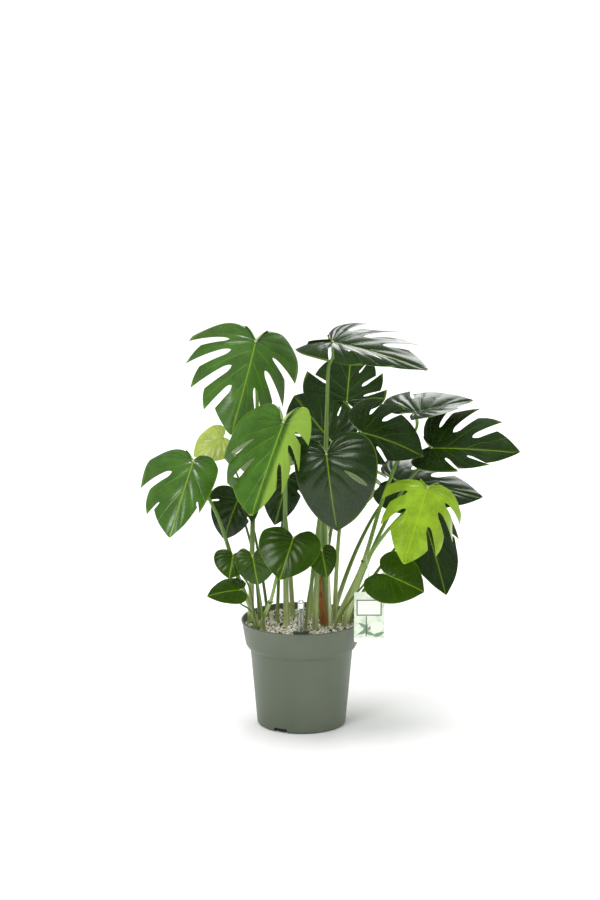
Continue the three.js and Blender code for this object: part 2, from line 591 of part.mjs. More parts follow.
/** Half-round holder that clasps the gauge just inside the rim. */
function gaugeHolder() {
  const { radius } = GAUGE;
  const outline = new THREE.Shape();
  outline.absarc(0, 0, radius + 9, Math.PI * 1.02, Math.PI * 1.98, false);
  outline.absarc(0, 0, radius + GAP + 0.2, Math.PI * 1.98, Math.PI * 1.02, true);
  outline.closePath();
  return bare(new THREE.ExtrudeGeometry(outline, { depth: 13, bevelEnabled: false, curveSegments: 8 }));
}

// ---------------------------------------------------------------- tag, its strap, and the stem ties
function plantTag() {
  const { width, height, thickness, hole } = TAG;
  const corner = 3;
  const w = width / 2;
  const outline = new THREE.Shape();
  outline.moveTo(-w + corner, 0).lineTo(w - corner, 0);
  outline.absarc(w - corner, corner, corner, -Math.PI / 2, 0, false);
  outline.absarc(w - corner, height - corner, corner, 0, Math.PI / 2, false);
  outline.absarc(-w + corner, height - corner, corner, Math.PI / 2, Math.PI, false);
  outline.absarc(-w + corner, corner, corner, Math.PI, Math.PI * 1.5, false);
  const eye = new THREE.Path();
  eye.absarc(0, height - 7, hole, 0, Math.PI * 2, true);
  outline.holes.push(eye);
  const options = { depth: thickness, bevelEnabled: false, curveSegments: 5 };
  const card = new THREE.ExtrudeGeometry(outline, options);
  card.rotateX(Math.PI / 2);
  return bare(card);
}

/** Thin closed strap from the lime leaf's petiole down through the tag's eye. */
function tagStrap() {
  const eye = TAG.bottom + TAG.height - 7;
  const middle = TAG.y - TAG.thickness / 2;
  const points = [
    [TAG.x, middle, eye], [TAG.x, middle - 3, eye + 5], [TAG.x - 2, -74, 325], [TAG.x - 5, -66, 350],
    [TAG.x - 6, -56, 357], [TAG.x - 5, -46, 350], [TAG.x - 3, -52, 330], [TAG.x, middle + 3, eye + 5],
  ];
  const curve = new THREE.CatmullRomCurve3(points.map((p) => new THREE.Vector3(...p)), true, 'centripetal');
  return bar(curve, 36, 6, () => 0.7, true);
}

/** Black ring tied round a petiole at a share of its line. */
function stemTie(leaf, share) {
  const line = petioleLine(leaf);
  const centre = line.getPointAt(share);
  const up = new THREE.Vector3(0, 0, 1);
  const facing = new THREE.Quaternion().setFromUnitVectors(up, line.getTangentAt(share));
  const radius = leaf.thick[0] + (leaf.thick[1] - leaf.thick[0]) * share ** 0.7;
  const ring = new THREE.TorusGeometry(radius + 1.3 + GAP, 1, 6, 16);
  ring.applyQuaternion(facing);
  ring.translate(centre.x, centre.y, centre.z);
  return bare(ring);
}

/** Dry brown sheath that hugs the left of the main stem. */
function driedSheath() {
  const { points, thick } = MAIN_STEM;
  const line = new THREE.CatmullRomCurve3(points.map((p) => new THREE.Vector3(...p)), false, 'centripetal');
  const steps = 8;
  const arc = 5;
  const rows = [];
  for (let i = 0; i <= steps; i += 1) {
    const share = SHEATH.from + ((SHEATH.to - SHEATH.from) * i) / steps;
    const centre = line.getPointAt(share);
    const radius = thick[0] + (thick[1] - thick[0]) * share ** 0.7 + GAP + 0.3;
    const spread = SHEATH.spread * (1 - 0.75 * (i / steps) ** 1.5);
    for (let k = 0; k <= arc; k += 1) {
      const angle = radians(SHEATH.heading + spread * ((2 * k) / arc - 1));
      const flare = radius * (1 + 0.16 * (i / steps) ** 2);
      rows.push(new THREE.Vector3(
        centre.x + (flare + 0.6) * Math.cos(angle), centre.y + (flare + 0.6) * Math.sin(angle), centre.z,
      ));
    }
  }
  const faces = [];
  for (let i = 0; i < steps; i += 1) {
    for (let k = 0; k < arc; k += 1) {
      const a = i * (arc + 1) + k;
      faces.push([a, a + 1, a + arc + 2, a + arc + 1]);
    }
  }
  return thicken({ points: rows, faces }, SHEATH.thickness);
}

// ---------------------------------------------------------------- the whole plant
const finish = (color, roughness) => new THREE.MeshStandardMaterial({ color, roughness, metalness: 0 });
const BLADE = { lime: 0x8fb52c, yellow: 0xa9b85a, top_left: 0x4f7f1e, left: 0x4d7a2c, front_left: 0x4a7a24 };
const PETIOLE = finish(0x6f9440, 0.5);
const group = new THREE.Group();

/** Adds one named piece with its faces pointing out, standing at a place. */
function add(name, geometry, material, place = [0, 0, 0]) {
  const { array } = geometry.attributes.position;
  const index = geometry.index.array;
  let volume = 0;
  for (let k = 0; k < index.length; k += 3) {
    const [a, b, c] = [0, 1, 2].map((n) => new THREE.Vector3().fromArray(array, index[k + n] * 3));
    volume += a.dot(b.cross(c));
  }
  if (volume < 0) {
    for (let k = 0; k < index.length; k += 3) [index[k], index[k + 1]] = [index[k + 1], index[k]];
  }
  const mesh = new THREE.Mesh(geometry, material);
  mesh.name = name;
  mesh.position.set(...place);
  group.add(mesh);
}

add('pot', pot(), finish(0x646d5f, 0.45));
add('growing_medium', growingMedium(), finish(0xb9ad98, 0.95));
for (const leaf of LEAVES) {
  const green = BLADE[leaf.name] ?? 0x24461c;
  add(`blade_${leaf.name}`, thicken(bladeSheet(leaf), BLADE_THICKNESS), finish(green, 0.3));
  add(`petiole_${leaf.name}`, petiole(leaf), PETIOLE);
}
const stemPoints = MAIN_STEM.points.map((p) => new THREE.Vector3(...p));
const stemLine = new THREE.CatmullRomCurve3(stemPoints, false, 'centripetal');
const [stemBase, stemTop] = MAIN_STEM.thick;
add('main_stem', bar(stemLine, 8, 12, (share) => stemBase + (stemTop - stemBase) * share ** 0.7), PETIOLE);
add('dried_sheath', driedSheath(), finish(0x8a5a30, 0.85));
add('gauge_tube', gaugeTube(), finish(0xd8e0dc, 0.1), [GAUGE.x, GAUGE.y, 0]);
add('gauge_float', gaugeFloat(), finish(0x5b655c, 0.4), [GAUGE.x, GAUGE.y, 0]);
add('gauge_holder', gaugeHolder(), finish(0x3a423a, 0.5), [GAUGE.x, GAUGE.y, MEDIUM_TOP + GAP]);
add('plant_tag', plantTag(), finish(0xdfe8d8, 0.5), [TAG.x, TAG.y, TAG.bottom]);
add('tag_strap', tagStrap(), finish(0xcfd6c8, 0.5));
const byName = Object.fromEntries(LEAVES.map((leaf) => [leaf.name, leaf]));
add('stem_tie_left', stemTie(byName.heart_front, 0.3), finish(0x1c1c1c, 0.5));
add('stem_tie_right', stemTie(byName.right_top, 0.3), finish(0x1c1c1c, 0.5));

export default group;
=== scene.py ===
"""Potted monstera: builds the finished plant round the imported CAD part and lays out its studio.

Metres, +Z up, the front of the plant faces -Y. Leaf sizes and places are the CAD part's own, in
millimetres, because a leaf is grown from its rule again with finer detail.
"""

import math

import bmesh
import bpy
import numpy as np
from bpy.props import FloatProperty, FloatVectorProperty, IntProperty, PointerProperty
from bpy.types import Operator, Panel, PropertyGroup
from mathutils import Matrix, Vector


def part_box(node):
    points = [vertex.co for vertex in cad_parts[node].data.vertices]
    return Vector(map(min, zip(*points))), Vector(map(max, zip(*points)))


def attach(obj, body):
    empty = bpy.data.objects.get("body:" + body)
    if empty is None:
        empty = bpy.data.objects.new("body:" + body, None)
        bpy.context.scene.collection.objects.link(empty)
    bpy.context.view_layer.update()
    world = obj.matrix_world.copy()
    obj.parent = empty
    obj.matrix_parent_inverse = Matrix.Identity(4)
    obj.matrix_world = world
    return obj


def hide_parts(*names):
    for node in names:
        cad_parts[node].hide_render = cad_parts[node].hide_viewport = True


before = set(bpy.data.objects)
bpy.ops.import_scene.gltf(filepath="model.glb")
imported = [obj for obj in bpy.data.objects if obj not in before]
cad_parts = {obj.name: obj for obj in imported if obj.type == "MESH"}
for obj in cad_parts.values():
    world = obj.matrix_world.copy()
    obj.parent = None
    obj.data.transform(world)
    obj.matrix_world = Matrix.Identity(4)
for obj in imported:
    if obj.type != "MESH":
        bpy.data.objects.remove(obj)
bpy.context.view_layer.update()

bl_info = {
    "name": "Potted Monstera",
    "version": (1, 0, 0),
    "blender": (4, 5, 0),
    "location": "View3D > Sidebar > Plant",
    "description": "Builds a potted split-leaf plant and its studio",
    "category": "Add Mesh",
}

MM = 0.001
PLACE_SHARE, PLACE_SLACK = 0.15, 0.02     # how far a piece's corners may stand off its CAD node's


def linear(code):
    """Linear colour of a hex code."""
    parts = [int(code[k:k + 2], 16) / 255 for k in (0, 2, 4)]
    return tuple(c / 12.92 if c <= 0.04045 else ((c + 0.055) / 1.055) ** 2.4 for c in parts)


# ---------------------------------------------------------------- settings
def colour(name, description, code):
    """A colour setting."""
    return FloatVectorProperty(
        name=name, description=description, default=linear(code), size=3, min=0, max=1, subtype="COLOR",
    )


def length(name, description, default):
    """A length setting in metres."""
    return FloatProperty(name=name, description=description, default=default, min=0, unit="LENGTH")


class PotSettings(PropertyGroup):
    """Sizes and colours of the pot and what fills it."""

    plastic: colour("Plastic", "Colour of the pot", "57614f")
    lip: length("Lip radius", "Rounding of the rim's edge", 0.0011)
    sides: IntProperty(name="Sides", description="Facets round the pot", default=192, min=24)
    grain: length("Grain spacing", "Least distance between two mineral grains", 0.0046)
    grain_size: length("Grain size", "Radius of a middling grain", 0.0038)
    grain_seed: IntProperty(name="Grain seed", description="Pattern of the grains", default=7)


class LeafSettings(PropertyGroup):
    """Sizes and colours of the leaves."""

    thickness: length("Blade thickness", "Thickness of a blade away from its midrib", 0.0007)
    rib: length("Midrib height", "How far the midrib stands out under the blade", 0.0022)
    quilting: length("Quilting", "Height of the swell between two side veins", 0.0018)
    mid: colour("Green", "Upper side of a leaf in the light", "33590e")
    dark: colour("Dark green", "Upper side of a leaf in the shade", "162b09")
    heart: colour("Deep green", "Upper side of a small whole leaf", "2a4606")
    lime: colour("Lime", "Upper side of a young leaf", "7fa01f")
    young: colour("Yellow green", "Upper side of the youngest leaf", "a4b356")
    pale: colour("Pale green", "Folded half of a leaf", "86a83c")
    under: colour("Underside", "Lower side of a blade", "7d9653")
    stalk: colour("Stalk", "Upper part of a stalk", "5c7a2a")
    foot: colour("Stalk foot", "Lower part of a stalk", "b9c486")


class TagSettings(PropertyGroup):
    """Colours of the tag and the gauge."""

    card: colour("Card", "Ground of the tag", "dfe9d6")
    ink: colour("Ink", "Frame and stem on the tag", "35402f")
    print_green: colour("Print green", "Leaf picture on the tag", "5f8a63")
    holder: colour("Holder", "Holder of the gauge", "3f4a40")


# ---------------------------------------------------------------- the leaf rule
# One half of the margin, from the notch at the joint, round the back lobe and on to the tip:
# [share of the half width, share of the back lobe (negative) or of the length, origin of its vein].
MARGIN = np.array([
    [0, 0, 0], [0.2, -0.7, 0], [0.5, -1, 0], [0.84, -0.62, 0], [1, 0.04, 0],
    [0.98, 0.3, 0.03], [0.79, 0.57, 0.13], [0.46, 0.8, 0.3], [0.13, 0.95, 0.55], [0, 1, 0.97],
])
VEIN_SWEEP = 0.16
HOLE_END = 0.86
SLIT_CLOSE = 0.45
LOBE_SHOULDER = 0.13
LOBE_POINT = 0.04
REAR_DROOP = 25
VEIN_SPACING = 0.105     # share of a half margin that one side vein serves
RIB_STEPS = 44
WHOLE = ((), ())

# joint, aim, face, length, width, back, droop, fold, curl, cuts, foot, via and thick are the CAD
# part's. tone names the colour of the blade, twist how far its lobes turn out of its sheet.
LEAVES = [
    dict(name="top_left", tone="mid", joint=(-90, 30, 767), aim=(-0.2, -0.62, -0.76),
         face=(0.32, -0.78, 0.54), length=202, width=(0.63, 0.5), back=(0.26, 0.26), droop=13,
         fold=(-20, -4), curl=(28, 29), twist=5,
         cuts=(((0.46, 0.4, 0.018), (0.57, 0.34, 0.022), (0.68, 0.34, 0.02), (0.78, 0.4, 0.018)),
               ((0.53, 0.4, 0.014), (0.65, 0.36, 0.02), (0.77, 0.36, 0.016))),
         foot=(-101, 12), via=((-96, 45, 430), (-88, 74, 650)), thick=(6.5, 3)),
    dict(name="left", tone="mid", joint=(-211, -60, 548), aim=(-0.28, -0.57, -0.77),
         face=(-0.16, -0.79, 0.59), length=163, width=(0.66, 0.32), back=(0.2, 0.15), droop=8,
         fold=(-6, -3), curl=(36, 34), twist=3,
         cuts=(((0.6, 0.36, 0.026), (0.74, 0.7, 0.006)), ((0.68, 0.75, 0.008),)),
         foot=(-90, -20), via=((-127, -22, 309), (-164, -35, 430)), thick=(6, 2.8)),
    dict(name="front_left", tone="folded", joint=(-35, -170, 650), aim=(-0.32, -0.52, -0.79),
         face=(-0.42, -0.71, 0.57), length=197, width=(0.64, 0.3), back=(0.25, 0.3), droop=4,
         fold=(-2, -39), curl=(30, 30), twist=5,
         cuts=(((0.6, 0.45, 0.008, True), (0.72, 0.42, 0.008, True)),
               ((0.48, 0.45, 0.018), (0.6, 0.4, 0.02), (0.72, 0.42, 0.018))),
         foot=(-30, -14), via=((-32, -60, 400), (-30, -125, 600)), thick=(6.5, 3)),
    dict(name="front_centre", tone="dark", joint=(48, -150, 583), aim=(0.1, -0.31, -0.95),
         face=(-0.13, -0.94, 0.31), length=157, width=(0.42, 0.62), back=(0.22, 0.23), droop=40,
         fold=(9, 18), curl=(32, 26), twist=2, cuts=((), ((0.63, 0.36, 0.016, True),)),
         foot=(27, -40), via=((34, -60, 400), (44, -105, 540)), thick=(6, 3)),
    dict(name="dark_centre", tone="dark", joint=(57, 82, 558), aim=(-0.58, 0.56, 0.59),
         face=(-0.33, -0.81, 0.48), length=136, width=(0.53, 0.61), back=(0.23, 0.25), droop=18,
         fold=(22, 15), curl=(23, 28), twist=2,
         cuts=(((0.55, 0.6, 0.01),), ((0.5, 0.4, 0.03, True), (0.66, 0.5, 0.012, True))),
         foot=(14, 22), via=((35, 66, 400), (52, 97, 500)), thick=(5, 2.6)),
    dict(name="top", tone="dark", joint=(61, -40, 780), aim=(0.92, -0.37, -0.09),
         face=(0.03, -0.17, 0.99), length=199, width=(0.43, 0.63), back=(0.3, 0.15), droop=15,
         fold=(14, 7), curl=(36, 19), twist=4,
         cuts=(((0.5, 0.4, 0.024), (0.63, 0.38, 0.022), (0.75, 0.42, 0.018)),
               ((0.48, 0.5, 0.018), (0.62, 0.42, 0.02), (0.74, 0.45, 0.016))),
         foot=None, via=((50, -14, 649), (54, -32, 735)), thick=(6, 3)),
    dict(name="behind_top", tone="dark", joint=(91, 156, 619), aim=(0.07, 0.68, 0.73),
         face=(-0.09, -0.73, 0.67), length=131, width=(0.58, 0.72), back=(0.14, 0.18), droop=16,
         fold=(16, 16), curl=(26, 25), twist=3,
         cuts=(((0.52, 0.42, 0.018), (0.64, 0.42, 0.02), (0.76, 0.5, 0.012)),
               ((0.42, 0.42, 0.026), (0.64, 0.5, 0.014))),
         foot=(32, 38), via=((66, 84, 420), (86, 154, 552)), thick=(5, 2.6)),
    dict(name="right_top", tone="dark", joint=(226, 60, 618), aim=(0.84, 0.53, 0.14),
         face=(-0.1, -0.1, 0.99), length=139, width=(0.52, 0.67), back=(0.22, 0.24), droop=10,
         fold=(20, 20), curl=(24, 26), twist=2,
         cuts=(((0.6, 0.6, 0.01),), ((0.58, 0.55, 0.014),)),
         foot=(73, 6), via=((120, 16, 316), (160, 32, 446), (202, 50, 551)), thick=(6, 2.8)),
    dict(name="right", tone="dark", joint=(257, 20, 556), aim=(0.97, -0.24, 0.05),
         face=(-0.16, -0.6, 0.78), length=175, width=(0.34, 0.7), back=(0.22, 0.16), droop=10,
         fold=(12, 3), curl=(24, 26), twist=3,
         cuts=(((0.58, 0.45, 0.016), (0.72, 0.45, 0.016)),
               ((0.5, 0.42, 0.016), (0.63, 0.36, 0.024), (0.75, 0.4, 0.02))),
         foot=(90, -4), via=((150, -10, 380), (225, 12, 510)), thick=(5.5, 2.8)),
    dict(name="centre_right", tone="dark", joint=(117, 0, 592), aim=(0.94, -0.3, -0.15),
         face=(-0.03, -0.54, 0.84), length=131, width=(0.5, 0.72), back=(0.16, 0.28), droop=26,
         fold=(2, 20), curl=(33, 33), twist=2,
         cuts=(((0.52, 0.42, 0.02), (0.67, 0.42, 0.018)), ((0.48, 0.45, 0.02), (0.63, 0.42, 0.02))),
         foot=(66, 22), via=((76, 18, 400), (98, 10, 530)), thick=(5, 2.8)),
    dict(name="back_right", tone="dark", joint=(188, 130, 464), aim=(0.97, -0.12, -0.1),
         face=(-0.03, -0.45, 0.89), length=179, width=(0.48, 0.6), back=(0.22, 0.22), droop=12,
         fold=(9, 2), curl=(30, 34), twist=3,
         cuts=(((0.62, 0.5, 0.016),), ((0.58, 0.4, 0.02), (0.72, 0.4, 0.024))),
         foot=(66, 52), via=((110, 90, 330), (160, 122, 415)), thick=(5.5, 2.8)),
    dict(name="lime", tone="lime", joint=(243, -120, 509), aim=(-0.27, -0.63, -0.72),
         face=(0.18, -0.8, 0.58), length=163, width=(0.5, 0.61), back=(0.13, 0.21), droop=14,
         fold=(-13, -14), curl=(37, 42), twist=4,
         cuts=(((0.53, 0.42, 0.022), (0.68, 0.42, 0.024)),
               ((0.5, 0.45, 0.018), (0.62, 0.4, 0.022), (0.75, 0.42, 0.022))),
         foot=(84, -24), via=((128, -54, 346), (190, -82, 440)), thick=(5.5, 2.6)),
    dict(name="right_low", tone="dark", joint=(244, 10, 408), aim=(0.3, -0.45, -0.84),
         face=(0.43, -0.73, 0.53), length=152, width=(0.42, 0.5), back=(0.22, 0.22), droop=10,
         fold=(7, 3), curl=(29, 33), twist=2, cuts=((), ((0.55, 0.75, 0.008),)),
         foot=(97, 28), via=((150, 34, 300), (210, 42, 370)), thick=(4.5, 2.2)),
    dict(name="round", tone="heart", joint=(164, -110, 334), aim=(0.9, -0.3, -0.31),
         face=(-0.04, -0.79, 0.62), length=83, width=(0.74, 0.66), back=(0.36, 0.28), droop=14,
         fold=(20, 14), curl=(25, 29), twist=0, cuts=WHOLE,
         foot=(66, -46), via=((112, -52, 284), (146, -70, 322)), thick=(3, 1.7)),
    dict(name="heart_front", tone="heart", joint=(-16, -130, 411), aim=(-0.31, -0.53, -0.78),
         face=(0, -0.84, 0.55), length=86, width=(0.76, 0.67), back=(0.2, 0.28), droop=20,
         fold=(5, 12), curl=(31, 29), twist=0, cuts=WHOLE,
         foot=(-79, -34), via=((-60, -60, 268), (-40, -88, 350)), thick=(5, 2)),
    dict(name="heart_right", tone="heart", joint=(40, -85, 374), aim=(0.18, -0.44, -0.88),
         face=(0, -0.89, 0.45), length=54, width=(0.58, 0.5), back=(0.22, 0.22), droop=24,
         fold=(7, 7), curl=(30, 30), twist=0, cuts=WHOLE,
         foot=(8, -62), via=((18, -66, 300),), thick=(3, 1.6)),
    dict(name="heart_left", tone="heart", joint=(-95, -90, 363), aim=(0.16, -0.29, -0.94),
         face=(-0.08, -0.95, 0.3), length=58, width=(0.62, 0.78), back=(0.34, 0.28), droop=34,
         fold=(15, 15), curl=(29, 27), twist=0, cuts=WHOLE,
         foot=(-74, -52), via=((-84, -64, 290),), thick=(3, 1.6)),
    dict(name="small_left", tone="heart", joint=(-134, -60, 359), aim=(-0.17, -0.54, -0.82),
         face=(0, -0.84, 0.54), length=48, width=(0.78, 0.76), back=(0.22, 0.22), droop=23,
         fold=(7, 8), curl=(30, 30), twist=0, cuts=WHOLE,
         foot=(-92, -44), via=((-104, -36, 290),), thick=(2.8, 1.5)),
    dict(name="small_low", tone="heart", joint=(-121, -70, 291), aim=(-0.99, -0.14, -0.02),
         face=(0.05, -0.43, 0.9), length=66, width=(0.64, 0.56), back=(0.22, 0.18), droop=22,
         fold=(9, 10), curl=(30, 29), twist=0, cuts=WHOLE,
         foot=(-88, -64), via=((-102, -68, 250),), thick=(2.6, 1.5)),
    dict(name="inner_left", tone="dark", joint=(-126, 40, 446), aim=(-0.39, -0.3, -0.87),
         face=(-0.23, -0.88, 0.41), length=85, width=(0.67, 0.55), back=(0.22, 0.23), droop=28,
         fold=(12, 9), curl=(27, 30), twist=1,
         cuts=(((0.55, 0.6, 0.012),), ((0.6, 0.7, 0.01),)),
         foot=(-84, 30), via=((-96, 48, 330),), thick=(4, 2)),
    dict(name="yellow", tone="young", joint=(-157, 30, 574), aim=(-0.87, -0.21, -0.45),
         face=(-0.13, -0.8, 0.58), length=67, width=(0.53, 0.6), back=(0.24, 0.21), droop=20,
         fold=(8, 5), curl=(29, 33), twist=0, cuts=WHOLE,
         foot=(-68, 44), via=((-100, 66, 400), (-138, 52, 520)), thick=(3.6, 1.8)),
    dict(name="inner_centre", tone="dark", joint=(-27, 30, 493), aim=(-0.27, -0.35, -0.9),
         face=(0.02, -0.94, 0.35), length=98, width=(0.5, 0.42), back=(0.22, 0.22), droop=24,
         fold=(8, 7), curl=(30, 31), twist=1,
         cuts=(((0.5, 0.55, 0.014),), ((0.56, 0.6, 0.012),)),
         foot=(-48, 12), via=((-40, 44, 380),), thick=(4, 2.2)),
    dict(name="back_left", tone="dark", joint=(-60, 172, 556), aim=(-0.2, 0.7, -0.6),
         face=(-0.1, 0.75, 0.65), length=168, width=(0.6, 0.55), back=(0.24, 0.24), droop=20,
         fold=(4, -4), curl=(30, 32), twist=4,
         cuts=(((0.48, 0.45, 0.016), (0.61, 0.38, 0.022), (0.74, 0.42, 0.018)),
               ((0.52, 0.42, 0.02), (0.67, 0.4, 0.02))),
         foot=(-18, 48), via=((-30, 80, 380), (-48, 125, 500)), thick=(5.5, 2.8)),
    dict(name="back_centre", tone="dark", joint=(80, 175, 480), aim=(0.2, 0.72, -0.55),
         face=(0.15, 0.7, 0.7), length=158, width=(0.56, 0.6), back=(0.22, 0.24), droop=24,
         fold=(6, 2), curl=(32, 28), twist=4,
         cuts=(((0.5, 0.42, 0.018), (0.66, 0.4, 0.02)),
               ((0.48, 0.48, 0.014), (0.6, 0.38, 0.022), (0.74, 0.42, 0.018))),
         foot=(22, 74), via=((44, 104, 330), (66, 135, 425)), thick=(5.5, 2.6)),
]
# Each tone's slot, the setting that colours its blade, how much its side veins and its midrib show,
# and its gloss, which is how strongly its skin mirrors the lights.
TONES = {
    "mid": dict(slot="leaf_green", body="mid", veins=0.3, rib=1.0, gloss=0.8),
    "folded": dict(slot="leaf_green", body="mid", veins=0.3, rib=1.0, gloss=0.5),
    "heart": dict(slot="leaf_green", body="heart", veins=0.2, rib=1.0, gloss=0.2),
    "dark": dict(slot="leaf_dark", body="dark", veins=0.13, rib=0.85, gloss=0.3),
    "lime": dict(slot="leaf_lime", body="lime", veins=0.22, rib=1.0, gloss=0.3),
    "young": dict(slot="leaf_lime", body="young", veins=0.2, rib=1.0, gloss=0.3),
}
COAT_SHARE = 0.3         # share of the gloss that goes into the waxy coat
BRIGHT_STALKS = ("centre_right", "lime", "right_top", "heart_front")
BIG_LEAF = 110           # a longer leaf than this has a finer grid and a finer stalk
STEM_FOOT = 200.3
MAIN_STEM = dict(points=((49, -10, STEM_FOOT), (49, -10, 212.3), (46, -18, 310), (44, -30, 424)),
                 thick=(13, 8))
STEM_SCARS = (0.16, 0.37, 0.62, 0.84)
SHEATH = dict(start=0.03, end=0.53, heading=215, spread=65)


def along_rows(rows, s):
    """Values on a smooth curve through rows of numbers, s from 0 to 1."""
    last = len(rows) - 1
    u = np.clip(s, 0, 1) * last
    i = np.minimum(u.astype(int), last - 1)
    f = (u - i)[:, None]
    p1, p2 = rows[i], rows[i + 1]
    p0 = np.where(i[:, None] > 0, rows[np.maximum(i - 1, 0)], 2 * p1 - p2)
    p3 = np.where(i[:, None] + 2 <= last, rows[np.minimum(i + 2, last)], 2 * p2 - p1)
    cubic = 3 * p1 - p0 - 3 * p2 + p3
    return 0.5 * (2 * p1 + (p2 - p0) * f + (2 * p0 - 5 * p1 + 4 * p2 - p3) * f**2 + cubic * f**3)


def flat_points(leaf, half, s, t):
    """Points of the flat half blade, in shares of its length: s along the margin, t out along the vein."""
    width, back = leaf["width"][half], leaf["back"][half]
    rows = MARGIN * (width, 1, 1)
    rows[:, 1] = np.where(MARGIN[:, 1] < 0, MARGIN[:, 1] * back, MARGIN[:, 1])
    ex, ey, m = along_rows(rows, s).T
    sweep = VEIN_SWEEP * (1 - s)
    cx = ex / 2 + sweep * (ey - m)
    cy = m + (ey - m) / 2 - sweep * ex
    x = 2 * t * (1 - t) * cx + t * t * ex
    y = (1 - t) ** 2 * m + 2 * t * (1 - t) * cy + t * t * ey
    return x, y


def arc_end(size, turn):
    """End of an arc of this length that sets out along the first axis and turns down by `turn`."""
    straight = np.abs(turn) < 1e-5
    safe = np.where(straight, 1, turn)
    return (np.where(straight, size, size * np.sin(safe) / safe),
            np.where(straight, 0, size * (np.cos(safe) - 1) / safe))


def bend_points(leaf, x, y):
    """Bends flat points: the midrib droops, and each half is folded up and curls down. Millimetres."""
    half = (x > 0).astype(int)
    back, width = np.array(leaf["back"])[half], np.array(leaf["width"])[half]
    fold, curl = np.radians(leaf["fold"])[half], np.radians(leaf["curl"])[half]
    heading = np.radians(leaf["droop"]) * y
    front, sink = arc_end(np.maximum(y, 0), np.maximum(heading, 0))
    rear_heading = np.radians(REAR_DROOP) * y / back
    rear, rear_sink = arc_end(np.maximum(-y, 0), np.maximum(-rear_heading, 0))
    behind = y < 0
    heading = np.where(behind, rear_heading, heading)
    along = np.where(behind, -rear, front)
    sink = np.where(behind, rear_sink, sink)
    out, down = arc_end(np.abs(x), curl * np.abs(x) / width)
    across = out * np.cos(fold) - down * np.sin(fold)
    lift = out * np.sin(fold) + down * np.cos(fold)
    bent = np.stack([across * np.sign(x), along + lift * np.sin(heading), sink + lift * np.cos(heading)], 1)
    return bent * leaf["length"]


def leaf_axes(leaf):
    """The blade's own axes, as rows: across, along the midrib, and out of its upper face."""
    along = np.array(leaf["aim"], float)
    along /= np.linalg.norm(along)
    up = np.array(leaf["face"], float)
    up -= up @ along * along
    up /= np.linalg.norm(up)
    return np.array([np.cross(up, along), along, up])


def slit_half(cut, t, inner, end):
    """Half width of a slit at t, in shares of the margin; a closed one narrows again to nothing."""
    if cut is None:
        return np.zeros_like(t)
    half = cut[2]
    if len(cut) > 3:
        share = np.clip((t - inner) / (end - inner), 0, 1)
        return np.where(t > inner, half * np.sqrt(np.sin(math.pi * share)), 0)
    opened = np.clip((t - cut[1]) / (1 - cut[1]), 0, 1)
    return np.where(t > inner, half * np.sqrt(np.minimum(1, opened / 0.18)) * (1 - SLIT_CLOSE * opened), 0)


def half_lobes(leaf, half, columns, rows):
    """Grids of (s, t, vein number, place across the lobe) for each lobe of one half blade."""
    cuts = leaf["cuts"][half]
    stops = [0, *[cut[0] for cut in cuts], 1]
    places = [cut[0] for cut in cuts]
    depths = [cut[1] for cut in cuts]
    levels = [(zone, k / count) for zone, count in enumerate(rows) for k in range(0 if zone else 1, count)]
    levels.append((3, 0))
    lobes, first_vein = [], 0
    for j, (low_stop, stop) in enumerate(zip(stops, stops[1:])):
        before = cuts[j - 1] if j else None
        after = cuts[j] if j < len(cuts) else None
        veins = max(1, round((stop - low_stop) / VEIN_SPACING))
        count = max(6, round(columns * (stop - low_stop)))
        q = np.arange(count + 1) / count
        margin = low_stop + (stop - low_stop) * q
        inner = np.interp(margin, places, depths) if cuts else np.full(count + 1, 0.5)
        end = np.maximum(HOLE_END, inner + 0.02)
        grid = []
        for zone, share in levels:
            t = (inner * share, inner + (end - inner) * share, end + (1 - end) * share, np.ones_like(q))[zone]
            low = low_stop + (slit_half(before, t, inner, end) if zone else 0)
            high = stop - (slit_half(after, t, inner, end) if zone else 0)
            reach = np.ones_like(q)
            if before and len(before) == 3:
                reach -= LOBE_SHOULDER * (1 - q) ** 2
            if after and len(after) == 3:
                reach += LOBE_POINT * q**3
            t = np.where(t > inner, inner + (t - inner) * (reach - inner) / (1 - inner), t)
            beyond = np.clip(t - inner, 0, None)
            grid.append(np.stack([low + (high - low) * q, t, first_vein + veins * q, (q - 0.5) * beyond], 1))
        lobes.append(grid)
        first_vein += veins
    return lobes


